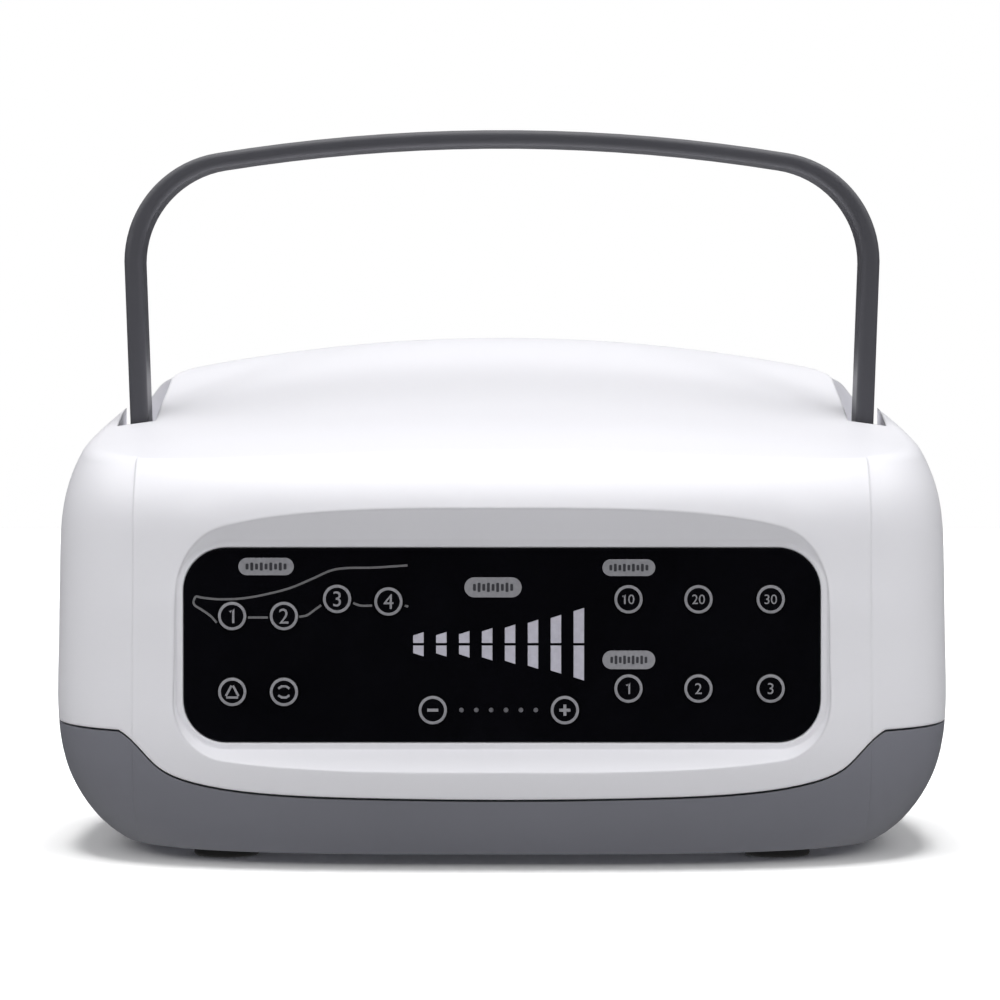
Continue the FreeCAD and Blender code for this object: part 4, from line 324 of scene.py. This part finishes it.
FINISHES = {
    "cover_plastic": (moulded_plastic, (0.860, 0.857, 0.900),
                      dict(roughness=0.34, grain=0.03, variation=0.008, softness=COVER_SOFTNESS)),
    "base_plastic": (moulded_plastic, (0.205, 0.208, 0.242),
                     dict(roughness=0.42, grain=0.18, variation=0.05)),
    "handle_plastic": (moulded_plastic, (0.078, 0.078, 0.09),
                       dict(roughness=0.40, grain=0.2, variation=0.06, softness=HANDLE_SOFTNESS)),
    "chip_white": (moulded_plastic, (0.7, 0.68, 0.55), dict(roughness=0.5)),
    "black_plastic": (moulded_plastic, (0.018, 0.018, 0.020), dict(roughness=0.42, grain=0.2, variation=0.1)),
    "natural_plastic": (moulded_plastic, (0.66, 0.63, 0.54), dict(roughness=0.45, subsurface=0.2)),
    "panel_gloss": (gloss_black, (0.0030, 0.0030, 0.0042), {}),
    "key_plastic": (gloss_black, (0.0035, 0.0035, 0.0048), dict(roughness=0.10)),
    "rocker_plastic": (gloss_black, (0.008, 0.008, 0.009), dict(roughness=0.16, specular=0.5)),
    "light_lens": (light_guide, (0.58, 0.57, 0.65), {}),
    "dim_lens": (light_guide, (0.16, 0.16, 0.175), {}),
    "board_green": (circuit_board, (0.012, 0.10, 0.04), {}),
    "foot_rubber": (rubber, (0.018, 0.018, 0.018), {}),
    "tube_rubber": (rubber, (0.42, 0.43, 0.42), dict(roughness=0.45)),
    "screw_steel": (metal, (0.60, 0.60, 0.61), dict(roughness=0.36)),
    "pin_steel": (metal, (0.66, 0.66, 0.68), dict(roughness=0.35, brushed=True)),
    "armature_steel": (metal, (0.45, 0.46, 0.48), dict(roughness=0.34, brushed=True)),
    "supply_metal": (metal, (0.38, 0.36, 0.33), dict(roughness=0.42)),
    "pump_aluminium": (metal, (0.58, 0.59, 0.61), dict(roughness=0.48, cast=0.2)),
    "coil_copper": (windings, (0.62, 0.25, 0.09), {}),
    "print_grey": (screen_print, (0.31, 0.31, 0.335), {}),
    "print_dark": (screen_print, (0.05, 0.05, 0.06), {}),
    "print_faint": (screen_print, (0.17, 0.17, 0.178), {}),
}
MATERIALS = {name: make(name, colour, **values) for name, (make, colour, values) in FINISHES.items()}
PRINT = MATERIALS["print_grey"]
SLOT_OF = {part["node"]: part["material_slot"] for part in frame["record"]["subparts"]}
SMOOTH_ANGLE = math.radians(32)     # an edge that turns by more than this stays sharp


def dress(mesh, material, smooth):
    """Gives a mesh its material, and smooth shading except over its sharp edges, or flat shading."""
    mesh.materials.clear()
    mesh.materials.append(material)
    for polygon in mesh.polygons:
        polygon.use_smooth = smooth
    if smooth:
        mesh.set_sharp_from_angle(angle=SMOOTH_ANGLE)


for name, node in NODES.items():
    dress(node.data, MATERIALS["dim_lens" if name == "level_dots" else SLOT_OF[name]], smooth=True)


# ================================================================ making pieces
def add_object(name, data):
    item = bpy.data.objects.new(name, data)
    bpy.context.scene.collection.objects.link(item)
    return item


def to_mesh(shape, name):
    """Mesh from a bmesh, which is used up."""
    mesh = bpy.data.meshes.new(name)
    shape.to_mesh(mesh)
    shape.free()
    return mesh


def finish_piece(shape, name, material, body=ROOT, smooth=False):
    """Turns a bmesh or mesh into an object of the scene that rides on a body."""
    if isinstance(shape, bmesh.types.BMesh):
        bmesh.ops.recalc_face_normals(shape, faces=shape.faces)
        shape = to_mesh(shape, name)
    dress(shape, material, smooth)
    piece = add_object(name, shape)
    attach(piece, body)


def revolved(profile, centre):
    """Ring about an axis along Y through centre (x, z), from a closed profile of (radius, y)."""
    shape = bmesh.new()
    rows = []
    for i in range(RING_STEPS):
        angle = 2 * math.pi * i / RING_STEPS
        rows.append([shape.verts.new((centre[0] + r * math.cos(angle), y, centre[1] + r * math.sin(angle)))
                     for r, y in profile])
    for i in range(RING_STEPS):
        here, following = rows[i], rows[(i + 1) % RING_STEPS]
        for j in range(len(profile)):
            k = (j + 1) % len(profile)
            shape.faces.new((here[j], here[k], following[k], following[j]))
    return shape


def print_rows(shape, outlines, face):
    """Points of each outline of (x, z), first at the front of a print on the plane y = face, then on it."""
    return [[shape.verts.new((x, y, z)) for x, z in outline]
            for y in (face - PRINT_THICK, face) for outline in outlines]


def plate(outline, face):
    """Printed area on the plane y = face, from a closed outline of (x, z)."""
    shape = bmesh.new()
    front, back = print_rows(shape, [outline], face)
    shape.faces.new(front)
    shape.faces.new(list(reversed(back)))
    for i in range(len(outline)):
        k = (i + 1) % len(outline)
        shape.faces.new((front[i], back[i], back[k], front[k]))
    return shape


def stroke(points, width, face):
    """Printed line of even width on the plane y = face, through the points (x, z)."""
    left, right = [], []
    for i, (x, z) in enumerate(points):
        x0, z0 = points[max(i - 1, 0)]
        x1, z1 = points[min(i + 1, len(points) - 1)]
        length = math.hypot(x1 - x0, z1 - z0)
        nx, nz = -(z1 - z0) / length * width / 2, (x1 - x0) / length * width / 2
        left.append((x + nx, z + nz))
        right.append((x - nx, z - nz))
    shape = bmesh.new()
    front_left, front_right, back_left, back_right = print_rows(shape, [left, right], face)
    edges = (front_left, front_right, back_right, back_left)
    for i in range(len(points) - 1):
        for a, b in zip(edges, edges[1:] + edges[:1]):
            shape.faces.new((a[i], a[i + 1], b[i + 1], b[i]))
    for end in (0, -1):
        shape.faces.new([edge[end] for edge in edges])
    return shape


def pill_outline(x, z, width, height):
    """Outline with half-round ends."""
    r = height / 2
    points = []
    for side, start in ((1, -math.pi / 2), (-1, math.pi / 2)):
        cx = x + side * (width / 2 - r)
        for i in range(PILL_STEPS + 1):
            angle = start + math.pi * i / PILL_STEPS
            points.append((cx + r * math.cos(angle), z + r * math.sin(angle)))
    return points


def rounded_outline(x, z, width, height, radius):
    points = []
    for quarter, (sx, sz) in enumerate(((1, 1), (-1, 1), (-1, -1), (1, -1))):
        cx, cz = x + sx * (width / 2 - radius), z + sz * (height / 2 - radius)
        for i in range(CORNER_STEPS + 1):
            angle = (quarter + i / CORNER_STEPS) * math.pi / 2
            points.append((cx + radius * math.cos(angle), cz + radius * math.sin(angle)))
    return points


def smooth_path(points):
    """Points along a Catmull-Rom curve through the given ones."""
    padded = [points[0]] + points + [points[-1]]
    path = []
    for i in range(1, len(padded) - 2):
        a, b, c, d = (Vector(p) for p in padded[i - 1:i + 3])
        for step in range(CURVE_STEPS):
            t = step / CURVE_STEPS
            path.append(tuple(0.5 * ((2 * b) + (c - a) * t + (2 * a - 5 * b + 4 * c - d) * t * t
                                     + (3 * b - a - 3 * c + d) * t * t * t)))
    path.append(points[-1])
    return path


def lettering(text, x, face, z, height):
    """Mesh of plain digits printed on the plane y = face, centred on (x, z)."""
    curve = bpy.data.curves.new("digits", "FONT")
    curve.body = text
    curve.size = height * FONT_SIZE
    curve.extrude = PRINT_THICK / 2
    curve.resolution_u = FONT_STEPS
    holder = add_object("digits", curve)
    graph = bpy.context.evaluated_depsgraph_get()
    mesh = bpy.data.meshes.new_from_object(holder.evaluated_get(graph))
    bpy.data.objects.remove(holder)
    xs = [v.co.x for v in mesh.vertices]
    ys = [v.co.y for v in mesh.vertices]
    middle = Vector(((min(xs) + max(xs)) / 2, (min(ys) + max(ys)) / 2, 0))
    place = Matrix.Translation((x, face - PRINT_THICK / 2, z))
    mesh.transform(place @ Matrix.Rotation(math.pi / 2, 4, "X") @ Matrix.Translation(-middle))
    return mesh


def digit_one(stem, height):
    """Path of a figure 1 with its flag, in the unit of its height; stem is the place of its upright."""
    flag = (stem - ONE_FLAG_REACH * height, ONE_FLAG_LEVEL * height)
    return [flag, (stem, height / 2), (stem, -height / 2)]


def in_metres(path, x=0.0, z=0.0):
    """Path in millimetres about the point (x, z), turned into metres."""
    return [(x + px * MM, z + pz * MM) for px, pz in path]


# ================================================================ marks on the keys
CHAMBER_DIGIT = 4.1 * MM
TIMER_DIGIT = 2.6 * MM
MODE_DIGIT = 3.0 * MM
CHAMBER_ONE = (0.3, 3.8)            # stem and height of a row's figure 1, in mm
TIMER_ONE = (-1.0, 2.5)
MODE_ONE = (0.2, 2.9)
TIMER_ZERO_ASIDE = 0.75 * MM        # the zero of the 10, from the key's middle

# Signs, as strokes of (x, z) in mm about the key's middle.
MINUS = [[(-1.5, 0), (1.5, 0)]]
PLUS = MINUS + [[(0, -1.5), (0, -0.42)], [(0, 0.42), (0, 1.5)]]
TRIANGLE = [[(-1.7, -1.1), (-0.2, 1.7)], [(0.2, 1.7), (1.7, -1.1)], [(-1.6, -1.5), (1.6, -1.5)]]
ARC = [(-1.5, 0.9), (-0.6, 1.5), (0.6, 1.5), (1.5, 0.9)]
TWO_ARCS = [ARC, [(x, -z) for x, z in ARC]]


def panel_print(shape, name, body=ROOT, ink=PRINT, smooth=False):
    finish_piece(shape, name, ink, body, smooth)


def key_centre(node):
    """Middle of a key's face, as x, y and z."""
    low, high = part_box(node)
    return (low.x + high.x) / 2, low.y, (low.z + high.z) / 2


def key_ring(node):
    """Ring printed on a key's face, which rolls over its rim."""
    x, face, z = key_centre(node)
    front = face - PRINT_THICK
    profile = [(RING_INNER, front), (RING_OUTER - RING_BEVEL, front)]
    profile += [(RING_OUTER + past, face + behind) for past, behind in RING_ROLL]
    profile += [(RING_OUTER, face + RING_OUTER_DEPTH), (RING_INNER, face + RING_INNER_DEPTH)]
    panel_print(revolved(profile, (x, z)), node + "_ring", node, smooth=True)


def key_digits(node, text, height, aside=0.0):
    x, face, z = key_centre(node)
    panel_print(lettering(text, x + aside, face, z, height), node + "_mark", node)


def key_strokes(node, paths, width=STROKE):
    x, face, z = key_centre(node)
    for i, path in enumerate(paths):
        panel_print(stroke(in_metres(path, x, z), width, face), "%s_mark_%d" % (node, i), node)


def numbered_keys(row, count, height, one, width, tens=False):
    """Figures 1, 2, 3 and so on along a row of keys, or with tens 10, 20, 30; the 1 is a stroke."""
    zero = "0" if tens else ""
    for i in range(2, count + 1):
        key_digits("%s_%d" % (row, i), str(i) + zero, height)
    key_strokes(row + "_1", [digit_one(*one)], width)
    if tens:
        key_digits(row + "_1", zero, height, TIMER_ZERO_ASIDE)


for name in NODES:
    if name.startswith("key_") and name != "key_switches":
        key_ring(name)
numbered_keys("key_chamber", 4, CHAMBER_DIGIT, CHAMBER_ONE, STROKE)
numbered_keys("key_timer", 3, TIMER_DIGIT, TIMER_ONE, THIN_STROKE, tens=True)
numbered_keys("key_mode", 3, MODE_DIGIT, MODE_ONE, THIN_STROKE)
key_strokes("key_pressure_down", MINUS, SIGN_STROKE)
key_strokes("key_pressure_up", PLUS, SIGN_STROKE)
key_strokes("key_foot_1", TRIANGLE)
key_strokes("key_foot_2", TWO_ARCS)


# ================================================================ marks on the panel
PANEL_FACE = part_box("control_panel")[0].y

# Places and sizes in mm: x, z, width and height of each label, and the lines' points (x, z).
LABELS = {
    "label_chambers": (-63.4, 80.3, 14.9, 4.7),
    "label_pressure": (-2.4, 74.7, 15.4, 5.4),
    "label_timer": (34.1, 80.0, 14.2, 4.5),
    "label_mode": (34.1, 55.2, 14.2, 5.0),
}
LEG_LINES = {
    "leg_line_top": [
        (-82.9, 71.0), (-82.2, 72.2), (-80.4, 71.9), (-76.0, 71.5), (-70.0, 71.7), (-64.0, 72.7),
        (-57.0, 74.5), (-51.0, 77.0), (-46.0, 79.2), (-41.5, 79.9), (-34.7, 80.0), (-25.4, 80.6)],
    "leg_line_heel": [(-82.9, 71.0), (-82.6, 69.9), (-80.6, 68.6), (-78.2, 66.9), (-76.7, 65.2)],
    "leg_line_0": [(-68.3, 66.6), (-62.9, 66.6)],
    "leg_line_1": [(-54.5, 66.8), (-52.4, 67.2), (-50.4, 68.6), (-48.6, 69.9)],
    "leg_line_2": [(-40.0, 70.5), (-38.0, 69.8), (-34.9, 69.8)],
    "leg_line_3": [(-26.1, 69.8), (-25.2, 69.5)],
}


def label_pill(name, x, z, width, height):
    """Bare label: a grey pill with a plain row of ticks instead of words."""
    panel_print(plate(pill_outline(x, z, width, height), PANEL_FACE), name)
    pitch = (width - height) / (TICK_COUNT - 1)
    for i in range(TICK_COUNT):
        tick_x = x + (i - (TICK_COUNT - 1) / 2) * pitch
        tall = height * (TICK_LONG if i % 2 else TICK_SHORT)
        outline = rounded_outline(tick_x, z, pitch * TICK_WIDTH, tall, pitch * TICK_ROUNDING)
        tick = plate(outline, PANEL_FACE - PRINT_THICK)
        panel_print(tick, "%s_tick_%d" % (name, i), ink=MATERIALS["print_dark"])


def leg_line(name, points):
    """Line of the drawn leg that runs round and between the chamber keys."""
    line = stroke(smooth_path(in_metres(points)), STROKE, PANEL_FACE)
    panel_print(line, name, ink=MATERIALS["print_faint"])


for name, sizes in LABELS.items():
    label_pill(name, *(size * MM for size in sizes))
for name, points in LEG_LINES.items():
    leg_line(name, points)


# ================================================================ marks on the back
PORT_COUNT = 4
PORT_PITCH = 13.5 * MM
PORT_DIGIT_RISE = 4.4 * MM          # above the socket's lower edge
PORT_DIGIT_HEIGHT = 3.2 * MM
PORT_ONE_STEM = 0.3 * MM
PAD_FACE_AREA = 20 * MM * MM        # the rocker's two pads have the only faces as large as this,
PAD_FACING = 0.9                    # and as square to +Y
ROCKER_BAR = 3.0 * MM
ROCKER_RING = (1.05 * MM, 1.6 * MM)


def rear_mark(shape, centre, normal, name, body=ROOT):
    """Lays a print that was made on the plane y = 0 about the origin on a face that looks backwards."""
    tilt = math.atan2(normal.z, normal.y)
    turn = Matrix.Rotation(tilt, 4, "X") @ Matrix.Rotation(math.pi, 4, "Z")
    shape.transform(Matrix.Translation(centre) @ turn)
    finish_piece(shape, name, PRINT, body)


def port_digits():
    """Number of each air outlet under its mouth, 1 on the left as seen from behind."""
    low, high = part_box("air_outlet_socket")
    for i in range(PORT_COUNT):
        x = (low.x + high.x) / 2 + ((PORT_COUNT - 1) / 2 - i) * PORT_PITCH
        if i == 0:
            shape = stroke(digit_one(PORT_ONE_STEM, PORT_DIGIT_HEIGHT), THIN_STROKE, 0.0)
        else:
            shape = lettering(str(i + 1), 0.0, 0.0, 0.0, PORT_DIGIT_HEIGHT)
        place = Vector((x, high.y, low.z + PORT_DIGIT_RISE))
        rear_mark(shape, place, Vector((0, 1, 0)), "port_mark_%d" % (i + 1))


def rocker_marks():
    """Bar on the rocker's upper pad and ring on its lower one."""
    faces = [face for face in NODES["power_switch_rocker"].data.polygons
             if face.normal.y > PAD_FACING and face.area > PAD_FACE_AREA]
    middle = sum(face.center.z for face in faces) / len(faces)
    bar = stroke([(0, -ROCKER_BAR / 2), (0, ROCKER_BAR / 2)], STROKE, 0.0)
    inner, outer = ROCKER_RING
    ring = revolved([(inner, -PRINT_THICK), (outer, -PRINT_THICK), (outer, 0), (inner, 0)], (0, 0))
    for upper, shape, name in ((True, bar, "rocker_bar"), (False, ring, "rocker_ring")):
        pad = [face for face in faces if (face.center.z > middle) == upper]
        centre = sum((face.center for face in pad), Vector()) / len(pad)
        rear_mark(shape, centre, pad[0].normal, name, "power_switch_rocker")


port_digits()
rocker_marks()


# ================================================================ studio
def mirrored(vector, side):
    """The vector for side 1, and its mirror image across the YZ plane for side -1."""
    return (side * vector[0],) + vector[1:]


def add_light(name, kind, energy, towards):
    """Light that shines along the given direction."""
    data = bpy.data.lights.new(name, kind)
    data.energy = energy
    light = add_object(name, data)
    light.rotation_euler = Vector(towards).to_track_quat("-Z", "Y").to_euler()
    return light


def soft_sun(name, towards, strength, spread, floor=None, floor_state="EXCLUDE"):
    """Even light from a wide patch of sky.

    Given the floor, it leaves the floor out, or with INCLUDE lights the floor alone.
    """
    light = add_light(name, "SUN", strength, towards)
    light.data.angle = math.radians(spread)
    if floor is not None:
        receivers = bpy.data.collections.new(name + "_receivers")
        receivers.objects.link(floor)
        receivers.collection_objects[0].light_linking.link_state = floor_state
        light.light_linking.receiver_collection = receivers


def strip_light(place):
    """Upright strip box, which draws a streak along the front corners."""
    light = add_light("strip_light", "AREA", STRIP_LIGHT, Vector((0.0, 0.0, PUMP_MIDDLE)) - Vector(place))
    light.location = place
    light.data.shape = "RECTANGLE"
    light.data.size = STRIP_WIDTH
    light.data.size_y = STRIP_HEIGHT


def make_world():
    """Dim room: darkest at the horizon, lighter below it and lightest overhead."""
    world = bpy.data.worlds.new("studio")
    bpy.context.scene.world = world
    world.use_nodes = True
    tree = world.node_tree
    direction = add_node(tree, "ShaderNodeTexCoord").outputs["Generated"]
    height = add_node(tree, "ShaderNodeSeparateXYZ", Vector=direction).outputs["Z"]
    below = map_range(tree, height, AMBIENT_BELOW_FROM, 0.0, AMBIENT_BELOW, AMBIENT_SIDE, "SMOOTHSTEP")
    above = map_range(tree, height, 0.0, AMBIENT_TOP_FROM, 0.0, AMBIENT_TOP - AMBIENT_SIDE, "SMOOTHSTEP")
    total = add_node(tree, "ShaderNodeMath")
    total.operation = "ADD"
    put(tree, total.inputs[0], below)
    put(tree, total.inputs[1], above)
    fill(tree, tree.nodes["Background"], dict(Color=WHITE, Strength=total.outputs[0]))


def dull(name, colour):
    """Even finish without gloss, for what the camera doesn't see."""
    return Nodes(name).surface(Base_Color=colour, Roughness=1.0, Specular_IOR_Level=0.0)


def stage_object(name, shape, material, hidden_from):
    """Piece of the studio that the given kinds of ray pass by."""
    mesh = to_mesh(shape, name)
    mesh.materials.append(material)
    piece = add_object(name, mesh)
    for rays in hidden_from:
        setattr(piece, "visible_" + rays, False)
    return piece


def stage_plane(name, size, material, hidden_from):
    """Level square about the origin."""
    shape = bmesh.new()
    bmesh.ops.create_grid(shape, x_segments=1, y_segments=1, size=size / 2)
    return stage_object(name, shape, material, hidden_from)


def make_floor():
    """Pale floor, which adds no bounce of its own to the room's light."""
    n = Nodes("floor_white")
    low, high = FLOOR_TONES
    material = n.surface(
        Base_Color=n.blend(n.ramp(n.noise(scale=3.0), 0.0, 1.0), grey(low), grey(high)),
        Roughness=0.9,
        Specular_IOR_Level=0.1)
    return stage_plane("floor", FLOOR_SIZE, material, ("diffuse", "glossy"))


def make_bounce():
    """Dimmer twin of the floor, which the camera doesn't see: it lights the pump from below."""
    material = dull("bounce_grey", grey(BOUNCE_TONE))
    bounce = stage_plane("floor_bounce", FLOOR_SIZE, material, ("camera", "glossy", "shadow"))
    bounce.location = (0.0, 0.0, -BOUNCE_DEPTH)


def make_backdrop():
    """White room, seen only directly: it lights nothing."""
    n = Nodes("backdrop_white")
    glow = n.add("ShaderNodeEmission", Color=WHITE, Strength=1.0)
    put(n.tree, n.tree.nodes["Material Output"].inputs["Surface"], glow.outputs[0])
    shape = bmesh.new()
    bmesh.ops.create_uvsphere(shape, u_segments=BACKDROP_STEPS, v_segments=BACKDROP_STEPS // 2,
                              radius=BACKDROP_RADIUS)
    stage_object("backdrop", shape, n.material, ("diffuse", "glossy", "transmission", "shadow"))


def make_dark_card():
    """Black card in front of the pump, seen only as a reflection in its glossy panel."""
    material = dull("card_black", CARD_COLOUR)
    card = stage_plane("dark_card", CARD_SIZE, material, ("camera", "diffuse", "shadow"))
    card.location = (0.0, -CARD_DISTANCE, PUMP_MIDDLE)
    card.rotation_euler = (math.pi / 2, 0.0, 0.0)


def make_camera():
    data = bpy.data.cameras.new("camera")
    data.lens = CAMERA_LENS
    data.sensor_width = CAMERA_SENSOR
    data.clip_start = CAMERA_NEAR
    camera = add_object("camera", data)
    camera.location = (0.0, -CAMERA_DISTANCE, CAMERA_HEIGHT)
    camera.rotation_euler = (math.radians(90.0 - CAMERA_PITCH), 0.0, math.radians(CAMERA_TURN))
    bpy.context.scene.camera = camera


def make_studio():
    make_world()
    floor = make_floor()
    make_backdrop()
    make_dark_card()
    make_bounce()
    soft_sun("overhead_light", OVERHEAD_FALL, OVERHEAD_LIGHT, OVERHEAD_SPREAD, floor)
    soft_sun("key_light", KEY_FALL, KEY_LIGHT, KEY_SPREAD, floor)
    for side in (-1, 1):
        soft_sun("flank_light", mirrored(FLANK_FALL, side), FLANK_LIGHT, FLANK_SPREAD)
        soft_sun("floor_light", mirrored(FLOOR_FALL, side), FLOOR_LIGHT, FLOOR_SPREAD, floor, "INCLUDE")
        strip_light(mirrored(STRIP_PLACE, side))


bpy.context.scene.view_settings.view_transform = "Standard"
make_camera()
make_studio()
